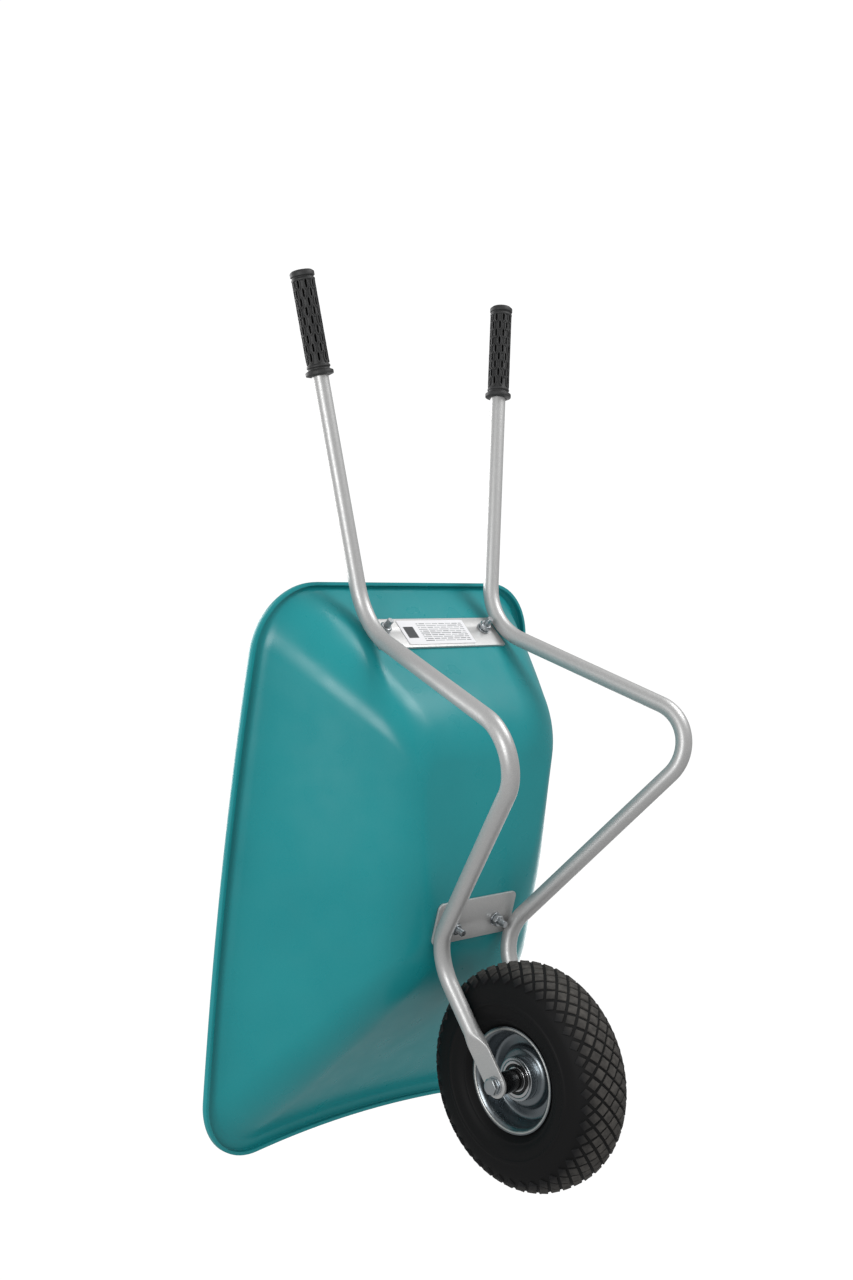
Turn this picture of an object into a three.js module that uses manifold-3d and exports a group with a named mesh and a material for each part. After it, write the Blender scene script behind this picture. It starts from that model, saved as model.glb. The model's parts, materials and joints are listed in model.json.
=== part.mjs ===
// Single-wheel barrow: a moulded tray on two bent tubes, a pneumatic wheel between the flattened
// tube ends, and two plastic grips. Millimetres. +X points to the wheel, +Y to the left, +Z up.
// The barrow stands on its tyre and on the two foot bends, and z = 0 is the ground.
import * as THREE from 'three';
import { mergeVertices } from 'three/addons/utils/BufferGeometryUtils.js';
import Module from 'manifold-3d';

const wasm = await Module();
wasm.setup();

// ---------------------------------------------------------------- driving sizes
const GAP = 0.3;                 // clearance kept between separate pieces

const WHEEL_RADIUS = 130;        // outside radius of the tyre
const TYRE_HALF_WIDTH = 40;
const AXLE_X = 398;              // axle ahead of the middle of the barrow

const TUBE_RADIUS = 10;
const TUBE_WALL = 1.5;
const FORK_Y = 52.4;             // middle of a flattened fork end, off the centre line
const FORK_THICKNESS = 4;
const FORK_EYE_RADIUS = 14.5;    // rounded tip of the flattened end
const FLAT_LENGTH = 36;          // fully flattened length behind the axle
const FLAT_BLEND = 30;           // length over which round becomes flat

const FRONT_BEND = { x: 260, z: 224, radius: 53 };
const FOOT_BEND = { x: 8.3, y: 157.6, z: -28, radius: 49 };
const REAR_BEND = { x: -118, y: 103.8, z: 276.1, radius: 77 };
const HANDLE_END = { x: -524, y: 165, z: 301.6 };

const GRIP_LENGTH = 122;
const GRIP_RADIUS = 13.5;
const GRIP_END_WALL = 4;

const PLATE_THICKNESS = 3;
const BOTTOM_TILT = 18.5;        // slope of the tray's floor, rising to the nose, degrees
const REAR_TILT = 42;            // slope of the tray's rear wall, degrees
const FRONT_PLATE = { middle: 282, length: 52, halfWidth: 64, boltY: 35, boltAlong: 6 };
const REAR_PLATE = { middle: -259, length: 46, halfWidth: 104, boltY: 83, boltAlong: -4 };
const LABEL = { length: 38, width: 110, thickness: 0.4 };

const SHEET = 4;                 // wall of the tray
const RIM_DROP = 9;              // height of the turned-down edge
const RIM_FLANGE = 19;           // width of the flat round the top of the tray
const RIM = {
  front: { x: 517, z: 420, halfWidth: 255, radius: 80 },
  rear: { x: -172, z: 321, halfWidth: 223, radius: 82 },
  sideRise: 16,                  // the long sides are arched upward by this much
  noseRise: 14,                  // and so is the nose
  noseBow: 16,                   // the nose is set back in its middle by this much
};
const FLOOR_OUTLINE = {
  frontX: 300, frontHalfWidth: 108, frontRadius: 45,
  rearHalfWidth: 121, rearRadius: 34,
  kneeX: 172, heelTilt: 7,       // behind the knee the floor slopes less, in degrees
};
const FLOOR_FILLET = 62;         // setback of the round between floor and walls, up the wall
const FLOOR_REACH = 44;          // and in over the floor
const WALL_BULGE = 7;

const BOLT_RADIUS = 4;           // tray bolts
const AXLE_BOLT_RADIUS = 5;
const HUB_HALF_LENGTH = 21;
const BEARING_WIDTH = 10;
const RIM_SHEET = 2;
const RIM_FLANGE_RADIUS = 60.5;

// ---------------------------------------------------------------- materials
const plastic = (color, roughness) => new THREE.MeshStandardMaterial({ color, roughness, metalness: 0 });
const metal = (color, roughness) => new THREE.MeshStandardMaterial({ color, roughness, metalness: 1 });
const TRAY_PLASTIC = plastic(0x2f8f96, 0.38);
const FRAME_PAINT = plastic(0x9b9a9c, 0.42);
const GRIP_PLASTIC = plastic(0x1b1c1e, 0.55);
const BUSH_PLASTIC = plastic(0x141414, 0.4);
const LABEL_FILM = plastic(0xd9d9dc, 0.5);
const TYRE_RUBBER = plastic(0x1d1d1c, 0.85);
const TUBE_RUBBER = plastic(0x151515, 0.8);
const ZINC = metal(0xb4b9bd, 0.32);
const BEARING_STEEL = metal(0xc8cacc, 0.2);
const BRASS = metal(0xb08d3c, 0.35);

// ---------------------------------------------------------------- geometry helpers
const vec = (x, y, z) => new THREE.Vector3(x, y, z);
const degrees = THREE.MathUtils.degToRad;

// Closed skin through a list of equal rings of points; the first and last ring are capped.
function loft(rings) {
  const count = rings[0].length;
  const points = rings.flat();
  const faces = [];
  for (let r = 0; r + 1 < rings.length; r += 1) {
    for (let k = 0; k < count; k += 1) {
      const a = r * count + k;
      const b = r * count + ((k + 1) % count);
      faces.push(a, b, a + count, b, b + count, a + count);
    }
  }
  const cap = (start, flip) => {
    const middle = points.length;
    const centre = vec(0, 0, 0);
    for (let k = 0; k < count; k += 1) centre.addScaledVector(points[start + k], 1 / count);
    points.push(centre);
    for (let k = 0; k < count; k += 1) {
      const a = start + k;
      const b = start + ((k + 1) % count);
      faces.push(...(flip ? [middle, b, a] : [middle, a, b]));
    }
  };
  cap(0, true);
  cap((rings.length - 1) * count, false);
  const geometry = new THREE.BufferGeometry();
  const places = points.flatMap((p) => [p.x, p.y, p.z]);
  geometry.setAttribute('position', new THREE.Float32BufferAttribute(places, 3));
  geometry.setIndex(faces);
  return geometry;
}

// Positions and faces only, with shared vertices merged and every face turned outward.
function solid(geometry) {
  const bare = geometry.clone();
  bare.deleteAttribute('normal');
  bare.deleteAttribute('uv');
  const merged = mergeVertices(bare, 1e-4);
  const position = merged.attributes.position;
  const index = Array.from(merged.index.array);
  const kept = [];
  let volume = 0;
  const [a, b, c] = [vec(0, 0, 0), vec(0, 0, 0), vec(0, 0, 0)];
  for (let i = 0; i < index.length; i += 3) {
    const [p, q, r] = index.slice(i, i + 3);
    if (p === q || q === r || p === r) continue;
    kept.push(p, q, r);
    a.fromBufferAttribute(position, p);
    b.fromBufferAttribute(position, q);
    c.fromBufferAttribute(position, r);
    volume += a.dot(b.cross(c));
  }
  if (volume < 0) kept.reverse();
  merged.setIndex(kept);
  return merged;
}

function toManifold(geometry) {
  const bare = solid(geometry);
  return new wasm.Manifold(new wasm.Mesh({
    numProp: 3,
    vertProperties: new Float32Array(bare.attributes.position.array),
    triVerts: new Uint32Array(bare.index.array),
  }));
}

function fromManifold(manifold) {
  const mesh = manifold.getMesh();
  const geometry = new THREE.BufferGeometry();
  geometry.setAttribute('position', new THREE.BufferAttribute(new Float32Array(mesh.vertProperties), 3));
  geometry.setIndex(new THREE.BufferAttribute(new Uint32Array(mesh.triVerts), 1));
  return geometry;
}

function cut(geometry, tools) {
  let body = toManifold(geometry);
  for (const tool of tools) body = body.subtract(toManifold(tool));
  return fromManifold(body);
}

// Solid of revolution about +Y from a closed list of [radius, y].
function turned(profile, segments = 18) {
  const points = profile.map(([radius, y]) => new THREE.Vector2(radius, y));
  points.push(points[0].clone());
  return solid(new THREE.LatheGeometry(points, segments));
}

const ring = (inner, outer, low, high, segments) => (
  turned([[inner, low], [outer, low], [outer, high], [inner, high]], segments)
);

// Sheet-metal section: a middle line of [radius, y] given a thickness.
function sheetSection(line, thickness) {
  const side = (sign) => line.map(([radius, y], i) => {
    const before = line[Math.max(0, i - 1)];
    const after = line[Math.min(line.length - 1, i + 1)];
    const along = new THREE.Vector2(after[0] - before[0], after[1] - before[1]).normalize();
    return [radius - sign * along.y * thickness / 2, y + sign * along.x * thickness / 2];
  });
  return [...side(1), ...side(-1).reverse()];
}

function prism(shape, depth) {
  return new THREE.ExtrudeGeometry(shape, { depth, bevelEnabled: false, curveSegments: 6 });
}

function polygonShape(sides, flatToFlat) {
  const radius = flatToFlat / 2 / Math.cos(Math.PI / sides);
  const corners = Array.from({ length: sides }, (_, i) => (
    new THREE.Vector2(radius * Math.cos((2 * Math.PI * i) / sides), radius * Math.sin((2 * Math.PI * i) / sides))
  ));
  return new THREE.Shape(corners);
}

function withHole(shape, radius, x = 0, y = 0) {
  shape.holes.push(new THREE.Path().absarc(x, y, radius, 0, 2 * Math.PI, true));
  return shape;
}

function roundedRectangle(length, width, radius) {
  const [x, y] = [length / 2, width / 2];
  const shape = new THREE.Shape();
  shape.moveTo(-x + radius, -y);
  shape.lineTo(x - radius, -y);
  shape.absarc(x - radius, -y + radius, radius, -Math.PI / 2, 0);
  shape.lineTo(x, y - radius);
  shape.absarc(x - radius, y - radius, radius, 0, Math.PI / 2);
  shape.lineTo(-x + radius, y);
  shape.absarc(-x + radius, y - radius, radius, Math.PI / 2, Math.PI);
  shape.lineTo(-x, -y + radius);
  shape.absarc(-x + radius, -y + radius, radius, Math.PI, 1.5 * Math.PI);
  return shape;
}

const barrow = new THREE.Group();

function add(parent, name, geometry, material, position, quaternion) {
  const mesh = new THREE.Mesh(solid(geometry), material);
  mesh.name = name;
  if (position) mesh.position.copy(position);
  if (quaternion) mesh.quaternion.copy(quaternion);
  parent.add(mesh);
  return mesh;
}

// ---------------------------------------------------------------- tube centre line
// Points with tangents along straight runs joined by circular bends.
function bentLine(corners) {
  const line = [];
  const push = (point, tangent) => line.push({ point, tangent });
  corners.forEach((corner, i) => {
    const before = corners[i - 1];
    const after = corners[i + 1];
    if (!before || !after) {
      const other = before ?? after;
      const tangent = corner.at.clone().sub(other.at).normalize();
      push(corner.at, after ? tangent.negate() : tangent);
      return;
    }
    const back = before.at.clone().sub(corner.at).normalize();
    const ahead = after.at.clone().sub(corner.at).normalize();
    const half = back.angleTo(ahead) / 2;
    const centre = back.clone().add(ahead).normalize().multiplyScalar(corner.radius / Math.sin(half)).add(corner.at);
    const start = corner.at.clone().addScaledVector(back, corner.radius / Math.tan(half));
    const axis = back.clone().cross(ahead).normalize().negate();
    const sweep = Math.PI - 2 * half;
    const steps = Math.ceil(sweep / degrees(13));
    for (let s = 0; s <= steps; s += 1) {
      const turn = (sweep * s) / steps;
      const arm = start.clone().sub(centre).applyAxisAngle(axis, turn);
      push(centre.clone().add(arm), back.clone().negate().applyAxisAngle(axis, turn));
    }
  });
  return line;
}

const AXLE = vec(AXLE_X, 0, WHEEL_RADIUS);
const tubeLine = bentLine([
  { at: vec(HANDLE_END.x, HANDLE_END.y, HANDLE_END.z) },
  { at: vec(REAR_BEND.x, REAR_BEND.y, REAR_BEND.z), radius: REAR_BEND.radius },
  { at: vec(FOOT_BEND.x, FOOT_BEND.y, FOOT_BEND.z), radius: FOOT_BEND.radius },
  { at: vec(FRONT_BEND.x, FORK_Y, FRONT_BEND.z), radius: FRONT_BEND.radius },
  { at: vec(AXLE_X, FORK_Y, WHEEL_RADIUS) },
]);

// Ring round a centre-line point: u is across the barrow, v is square to u and to the tube.
function tubeRing({ point, tangent }, halfAcross, halfHigh, squareness = 2, sides = 10) {
  const u = vec(0, 1, 0).addScaledVector(tangent, -tangent.y).normalize();
  const v = tangent.clone().cross(u);
  return Array.from({ length: sides }, (_, k) => {
    const angle = (2 * Math.PI * (k + 0.5)) / sides;
    const c = Math.cos(angle);
    const s = Math.sin(angle);
    const across = halfAcross * Math.sign(c) * Math.abs(c) ** (2 / squareness);
    const high = halfHigh * Math.sign(s) * Math.abs(s) ** (2 / squareness);
    return point.clone().addScaledVector(u, across).addScaledVector(v, high);
  });
}

function bentTube() {
  const last = tubeLine.at(-1);
  const along = (distance) => ({
    point: last.point.clone().addScaledVector(last.tangent, distance),
    tangent: last.tangent,
  });
  const bore = TUBE_RADIUS - TUBE_WALL;
  const blendStart = -(FLAT_LENGTH + FLAT_BLEND);
  const round = tubeLine.slice(0, -1);
  const rings = [];
  const boreEnd = along(blendStart - 6);
  rings.push(tubeRing(boreEnd, bore, bore));
  [...round].reverse().forEach((station) => rings.push(tubeRing(station, bore, bore)));
  round.forEach((station) => rings.push(tubeRing(station, TUBE_RADIUS, TUBE_RADIUS)));
  const half = FORK_THICKNESS / 2;
  for (const f of [0, 0.25, 0.5, 0.75, 1]) {
    const ease = f * f * (3 - 2 * f);
    const across = THREE.MathUtils.lerp(TUBE_RADIUS, half, ease);
    const high = THREE.MathUtils.lerp(TUBE_RADIUS, FORK_EYE_RADIUS, ease);
    rings.push(tubeRing(along(blendStart + FLAT_BLEND * f), across, high, 2 + 4 * ease));
  }
  for (const angle of [0, 25, 50, 72]) {
    const reach = FORK_EYE_RADIUS * Math.sin(degrees(angle));
    rings.push(tubeRing(along(reach), half, FORK_EYE_RADIUS * Math.cos(degrees(angle)), 6));
  }
  const drill = new THREE.CylinderGeometry(AXLE_BOLT_RADIUS + GAP, AXLE_BOLT_RADIUS + GAP, 20, 16);
  drill.translate(AXLE_X, FORK_Y, WHEEL_RADIUS);
  return cut(loft(rings), [drill]);
}

const leftTube = bentTube();
add(barrow, 'left_tube', leftTube, FRAME_PAINT);
add(barrow, 'right_tube', leftTube.clone().scale(1, -1, 1), FRAME_PAINT);

// ---------------------------------------------------------------- grips
function grip() {
  const bore = TUBE_RADIUS + GAP;
  const tip = GRIP_END_WALL + GAP;
  const inside = tip - GRIP_LENGTH;
  return turned([
    [0, GAP], [bore, GAP], [bore, inside], [GRIP_RADIUS - 1.5, inside], [GRIP_RADIUS + 3, inside + 2],
    [GRIP_RADIUS + 3, inside + 6], [GRIP_RADIUS - 1, inside + 10], [GRIP_RADIUS, inside + 22],
    [GRIP_RADIUS, tip - 22], [GRIP_RADIUS - 1, tip - 10], [GRIP_RADIUS + 1, tip - 7],
    [GRIP_RADIUS + 1, tip - 3], [GRIP_RADIUS - 2, tip], [0, tip],
  ], 16);
}

for (const [name, side] of [['left_grip', 1], ['right_grip', -1]]) {
  const end = vec(HANDLE_END.x, side * HANDLE_END.y, HANDLE_END.z);
  const inner = vec(REAR_BEND.x, side * REAR_BEND.y, REAR_BEND.z);
  const outward = end.clone().sub(inner).normalize();
  const turn = new THREE.Quaternion().setFromUnitVectors(vec(0, 1, 0), outward);
  add(barrow, name, grip(), GRIP_PLASTIC, end, turn);
}

// ---------------------------------------------------------------- mounting planes
// A plane that lies on top of the tubes: local x runs up the slope, local z points into the tray.
function mountingPlane(slopeDegrees, towardsNose) {
  const slope = degrees(slopeDegrees);
  const up = towardsNose ? vec(-Math.sin(slope), 0, Math.cos(slope)) : vec(Math.sin(slope), 0, Math.cos(slope));
  const run = vec(0, 1, 0).cross(up);
  const near = towardsNose ? (p) => p.x > FOOT_BEND.x : (p) => p.x < FOOT_BEND.x && p.x > REAR_BEND.x * 2;
  const heights = tubeLine.map(({ point }) => point).filter(near).map((p) => p.dot(up));
  const seat = Math.max(...heights) + TUBE_RADIUS + GAP;
  const turn = new THREE.Quaternion().setFromRotationMatrix(new THREE.Matrix4().makeBasis(run, vec(0, 1, 0), up));
  const at = (along, across, height) => (
    run.clone().multiplyScalar(along).addScaledVector(up, seat + height).add(vec(0, across, 0))
  );
  return { up, run, seat, turn, at };
}

const floorPlane = mountingPlane(BOTTOM_TILT, true);
const rearPlane = mountingPlane(REAR_TILT, false);
const TRAY_SEAT = PLATE_THICKNESS + GAP;   // tray's outside face above a mounting plane

// ---------------------------------------------------------------- cross plates and label
function plate({ length, halfWidth, boltY, boltAlong }, corner) {
  const shape = roundedRectangle(length, 2 * halfWidth, corner);
  withHole(shape, BOLT_RADIUS + GAP, boltAlong, boltY);
  withHole(shape, BOLT_RADIUS + GAP, boltAlong, -boltY);
  return prism(shape, PLATE_THICKNESS);
}

add(barrow, 'front_plate', plate(FRONT_PLATE, 7), FRAME_PAINT,
  floorPlane.at(FRONT_PLATE.middle, 0, 0), floorPlane.turn);
add(barrow, 'rear_plate', plate(REAR_PLATE, 2), FRAME_PAINT,
  rearPlane.at(REAR_PLATE.middle, 0, 0), rearPlane.turn);
add(barrow, 'rating_label', prism(roundedRectangle(LABEL.length, LABEL.width, 2), LABEL.thickness), LABEL_FILM,
  rearPlane.at(REAR_PLATE.middle, 0, -GAP - LABEL.thickness), rearPlane.turn);

// ---------------------------------------------------------------- tray bolts, washers, nuts
function trayBolt() {
  const head = BOLT_RADIUS * 2.4;
  const crown = [[0, 4.6], [head * 0.5, 4.1], [head * 0.85, 2.6], [head, 0.6], [head, 0]];
  const shank = [[BOLT_RADIUS, 0], [BOLT_RADIUS, -26], [0, -26]];
  const geometry = turned([...crown, ...shank], 12);
  return geometry.rotateX(Math.PI / 2);
}

const nutShape = (boltRadius) => withHole(polygonShape(6, boltRadius * 3.25), boltRadius + GAP);
const washer = (boltRadius, thickness) => {
  const shape = new THREE.Shape().absarc(0, 0, boltRadius * 2.1, 0, 2 * Math.PI);
  return prism(withHole(shape, boltRadius + GAP), thickness);
};
const TRAY_WASHER = 1.6;
const TRAY_NUT = 6.5;

function trayFixing(label, plane, along, across) {
  const at = (height) => plane.at(along, across, height);
  add(barrow, `tray_bolt_${label}`, trayBolt(), ZINC, at(TRAY_SEAT + SHEET + GAP), plane.turn);
  add(barrow, `tray_washer_${label}`, washer(BOLT_RADIUS, TRAY_WASHER), ZINC, at(-GAP - TRAY_WASHER), plane.turn);
  add(barrow, `tray_nut_${label}`, prism(nutShape(BOLT_RADIUS), TRAY_NUT), ZINC,
    at(-2 * GAP - TRAY_WASHER - TRAY_NUT), plane.turn);
}

const frontBoltAlong = FRONT_PLATE.middle + FRONT_PLATE.boltAlong;
const rearBoltAlong = REAR_PLATE.middle + REAR_PLATE.boltAlong;
trayFixing('front_left', floorPlane, frontBoltAlong, FRONT_PLATE.boltY);
trayFixing('front_right', floorPlane, frontBoltAlong, -FRONT_PLATE.boltY);
trayFixing('rear_left', rearPlane, rearBoltAlong, REAR_PLATE.boltY);
trayFixing('rear_right', rearPlane, rearBoltAlong, -REAR_PLATE.boltY);

// ---------------------------------------------------------------- tray
// Outline of a rounded four-sided figure, always with the same number of points, from the middle
// of the nose round the left side. Each corner is {x, y, radius}; heights are added afterwards.
function outline(front, frontY, frontRadius, rear, rearY, rearRadius) {
  const corners = [
    { x: front, y: frontY, radius: frontRadius },
    { x: rear, y: rearY, radius: rearRadius },
  ];
  const half = [vec(front, 0, 0)];
  const arc = ({ x, y, radius }, previous, next) => {
    const corner = vec(x, y, 0);
    const back = previous.clone().sub(corner).normalize();
    const ahead = next.clone().sub(corner).normalize();
    const halfAngle = back.angleTo(ahead) / 2;
    const reach = radius / Math.tan(halfAngle);
    const centre = back.clone().add(ahead).normalize().multiplyScalar(radius / Math.sin(halfAngle)).add(corner);
    const start = corner.clone().addScaledVector(back, reach).sub(centre);
    const sweep = Math.PI - 2 * halfAngle;
    return Array.from({ length: 6 }, (_, k) => (
      start.clone().applyAxisAngle(vec(0, 0, 1), (sweep * k) / 5).add(centre)
    ));
  };
  const run = (from, to, count) => Array.from({ length: count }, (_, k) => (
    from.clone().lerp(to, (k + 1) / (count + 1))
  ));
  const frontArc = arc(corners[0], vec(front, 0, 0), vec(rear, rearY, 0));
  const rearArc = arc(corners[1], vec(front, frontY, 0), vec(rear, 0, 0));
  half.push(...run(half[0], frontArc[0], 2), ...frontArc);
  half.push(...run(frontArc.at(-1), rearArc[0], 6), ...rearArc);
  half.push(...run(rearArc.at(-1), vec(rear, 0, 0), 2), vec(rear, 0, 0));
  const mirrored = half.slice(1, -1).reverse().map((p) => vec(p.x, -p.y, 0));
  return [...half, ...mirrored];
}

function rimHeight(x, y) {
  const { front, rear } = RIM;
  const t = (x - rear.x) / (front.x - rear.x);
  const nose = THREE.MathUtils.smoothstep(t, 0.75, 1) * (1 - (y / front.halfWidth) ** 2);
  const height = THREE.MathUtils.lerp(rear.z, front.z, t) + 4 * RIM.sideRise * t * (1 - t) + RIM.noseRise * nose;
  return { height, nose };
}

// Top edge of the tray, inset from its outermost line; the rear wall may have an inset of its own.
function rimOutline(inset, rearInset = inset) {
  const { front, rear } = RIM;
  const line = outline(front.x - inset, front.halfWidth - inset, front.radius - inset * 0.6,
    rear.x + rearInset, rear.halfWidth - inset, rear.radius - inset * 0.6);
  return line.map((p) => {
    const { height, nose } = rimHeight(p.x, p.y);
    return vec(p.x - RIM.noseBow * nose, p.y, height);
  });
}

function trayRings() {
  const outside = TRAY_SEAT + SHEET / 2;
  const { frontX, frontHalfWidth, frontRadius, rearHalfWidth, rearRadius, kneeX, heelTilt } = FLOOR_OUTLINE;
  const planeZ = (plane, x) => (plane.seat + outside - plane.up.x * x) / plane.up.z;
  const heelSlope = Math.tan(degrees(heelTilt));
  const heelZ = (x) => planeZ(floorPlane, kneeX) + (x - kneeX) * heelSlope;
  const floorZ = (x) => (x > kneeX ? planeZ(floorPlane, x) : heelZ(x));
  // Crease between the heel of the floor and the rear wall.
  const creaseX = (planeZ(rearPlane, 0) - heelZ(0)) / (heelSlope + rearPlane.up.x / rearPlane.up.z);
  const floorLine = outline(frontX, frontHalfWidth, frontRadius, creaseX, rearHalfWidth, rearRadius)
    .map((p) => vec(p.x, p.y, floorZ(p.x)));
  const boltX = floorPlane.at(frontBoltAlong, 0, outside).x;
  const centre = vec(boltX, 0, floorZ(boltX));
  const onFloor = (p) => vec(p.x, p.y, floorZ(p.x));
  // The rear wall lies on the rear plate, so its top edge is where that slope meets the rim.
  const flangeDrop = 1.5;
  let rearTopX = RIM.rear.x;
  for (let step = 0; step < 8; step += 1) {
    const wallTop = rimHeight(rearTopX, 0).height - flangeDrop;
    rearTopX = (rearPlane.seat + outside - wallTop * rearPlane.up.z) / rearPlane.up.x;
  }
  const top = rimOutline(RIM_FLANGE, rearTopX - RIM.rear.x);
  const edge = rimOutline(SHEET / 2);
  const bezier = (a, b, c, t) => (
    a.clone().multiplyScalar((1 - t) ** 2).addScaledVector(b, 2 * t * (1 - t)).addScaledVector(c, t * t)
  );
  const profile = floorLine.map((base, k) => {
    const rim = edge[k];
    const flangeTop = top[k].clone();
    flangeTop.z = flangeTop.z - flangeDrop;
    const inward = centre.clone().sub(base);
    const wall = flangeTop.clone().sub(base);
    const floorReach = onFloor(base.clone().addScaledVector(inward.clone().normalize(), FLOOR_REACH));
    const wallStart = base.clone().addScaledVector(wall.clone().normalize(), FLOOR_FILLET);
    const wallEnd = flangeTop.clone().addScaledVector(wall.clone().normalize(), -13);
    const out = rim.clone().sub(flangeTop);
    const flangeStart = flangeTop.clone().addScaledVector(out.clone().normalize(), 5);
    const flangeEnd = rim.clone().addScaledVector(out.clone().normalize(), -4.5);
    // Only the long sides swell: the nose and the rear wall stay flat.
    const outward = vec(wall.x, wall.y, 0).normalize();
    outward.multiplyScalar(0.7).add(vec(0, 0, -0.7)).multiplyScalar(Math.abs(outward.y) ** 2);
    // The first ring stops at the knee, so the floor stays flat under the bolt heads.
    const toKnee = (centre.x - kneeX) / (centre.x - floorReach.x);
    const flat = floorReach.x < kneeX ? Math.min(0.45, toKnee) : 0.45;
    const line = [flat, 0.75].map((share) => onFloor(centre.clone().lerp(floorReach, share)));
    line.push(floorReach);
    for (const t of [0.2, 0.4, 0.6, 0.8, 1]) line.push(bezier(floorReach, base, wallStart, t));
    for (const t of [0.33, 0.67]) {
      line.push(wallStart.clone().lerp(wallEnd, t).addScaledVector(outward, WALL_BULGE * 4 * t * (1 - t)));
    }
    for (const t of [0, 0.5, 1]) line.push(bezier(wallEnd, flangeTop, flangeStart, t));
    const lipTop = rim.clone().add(vec(0, 0, -4.5));
    for (const t of [0, 0.5, 1]) line.push(bezier(flangeEnd, rim, lipTop, t));
    line.push(rim.clone().add(vec(0, 0, -RIM_DROP)));
    return line;
  });
  return { centre, profile };
}

function tray() {
  const { centre, profile } = trayRings();
  const count = profile.length;
  const depth = profile[0].length;
  const normalAt = (k, v) => {
    const before = v === 0 ? centre : profile[k][v - 1];
    const after = profile[k][Math.min(depth - 1, v + 1)];
    const along = after.clone().sub(before);
    const round = profile[(k + 1) % count][v].clone().sub(profile[(k + count - 1) % count][v]);
    return round.cross(along).normalize();
  };
  const skin = (sign) => Array.from({ length: depth }, (_, v) => (
    profile.map((line, k) => line[v].clone().addScaledVector(normalAt(k, v), (sign * SHEET) / 2))
  ));
  const outer = skin(1);
  const inner = skin(-1);
  const body = loft([...outer, ...inner.reverse()]);
  const drill = (plane, along, across) => {
    const tool = new THREE.CylinderGeometry(BOLT_RADIUS + GAP, BOLT_RADIUS + GAP, 30, 12).rotateX(Math.PI / 2);
    tool.applyQuaternion(plane.turn);
    const at = plane.at(along, across, TRAY_SEAT + SHEET / 2);
    return tool.translate(at.x, at.y, at.z);
  };
  return cut(body, [
    drill(floorPlane, frontBoltAlong, FRONT_PLATE.boltY),
    drill(floorPlane, frontBoltAlong, -FRONT_PLATE.boltY),
    drill(rearPlane, rearBoltAlong, REAR_PLATE.boltY),
    drill(rearPlane, rearBoltAlong, -REAR_PLATE.boltY),
  ]);
}

add(barrow, 'tray', tray(), TRAY_PLASTIC);

// ---------------------------------------------------------------- wheel
const wheel = new THREE.Group();
wheel.position.copy(AXLE);
barrow.add(wheel);

const mirrorY = (geometry) => geometry.clone().scale(1, -1, 1);
const SEAT_RADIUS = RIM_FLANGE_RADIUS - 7.5;   // middle line of the rim's bead seat

function tyre() {
  const w = TYRE_HALF_WIDTH;
  const bead = SEAT_RADIUS + RIM_SHEET / 2 + GAP;
  // Radius at a depth below the crown, for a tyre 75.7 mm tall from bead to crown.
  const at = (depth) => WHEEL_RADIUS - depth * (WHEEL_RADIUS - bead) / 75.7;
  const outerLeft = [
    [at(0), w * 0.12], [at(2), w * 0.42], [at(8), w * 0.7], [at(19), w * 0.92], [at(36), w],
    [at(54), w * 0.94], [at(65), w * 0.76], [bead + 7.2, 26], [bead + 4.3, 24.9],
    [bead + 1.2, 22.6], [bead, 19],
  ];
  const innerLeft = [
    [bead, 13], [bead + 5, 16], [at(66), w * 0.6], [at(54), w * 0.78], [at(36), w * 0.84],
    [at(20), w * 0.72], [at(11), w * 0.45], [at(9), w * 0.12],
  ];
  const left = [...outerLeft, ...innerLeft];
  const right = left.map(([radius, y]) => [radius, -y]).reverse();
  return turned([...left, ...right], 30);
}

function tubeSection(radius, half, tall, scale) {
  return Array.from({ length: 8 }, (_, k) => {
    const angle = (2 * Math.PI * k) / 8;
    return [radius + tall * scale * Math.cos(angle), half * scale * Math.sin(angle)];
  });
}

const VALVE_Y = -7;
const VALVE_ROOT = SEAT_RADIUS + 4;
function innerTube() {
  const low = SEAT_RADIUS + 9;
  const high = WHEEL_RADIUS - 12;
  const middle = (low + high) / 2;
  const tall = (high - low) / 2;
  const half = TYRE_HALF_WIDTH * 0.72;
  const wall = new THREE.CylinderGeometry(2.5, 2.5, 14, 8).translate(0, middle - tall, 0);
  const outside = toManifold(turned(tubeSection(middle, half, tall, 1), 24));
  const hollow = toManifold(turned(tubeSection(middle, half, tall, 0.9), 24));
  wall.rotateX(Math.PI / 2).translate(0, VALVE_Y, 0);
  return fromManifold(outside.subtract(hollow).subtract(toManifold(wall)));
}

function rimHalf() {
  const seat = SEAT_RADIUS;
  const line = [
    [RIM_FLANGE_RADIUS, 27.5], [seat + 5, 26.6], [seat + 1.4, 24], [seat, 20], [seat - 1, 10],
    [seat - 3, 3.5], [seat - 6.5, RIM_SHEET / 2 + GAP / 2], [39, RIM_SHEET / 2 + GAP / 2], [35.5, 2.6],
    [33.6, 7.5], [31, 9.4], [25 + GAP, 10],
  ];
  return turned(sheetSection(line, RIM_SHEET), 28);
}

const valveTool = () => (
  new THREE.CylinderGeometry(4 + GAP, 4 + GAP, 20, 12).rotateX(Math.PI / 2).translate(0, VALVE_Y, SEAT_RADIUS)
);
add(wheel, 'tyre', tyre(), TYRE_RUBBER);
add(wheel, 'inner_tube', innerTube(), TUBE_RUBBER);
add(wheel, 'rim_left', rimHalf(), ZINC);
add(wheel, 'rim_right', cut(mirrorY(rimHalf()), [valveTool()]), ZINC);

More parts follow.
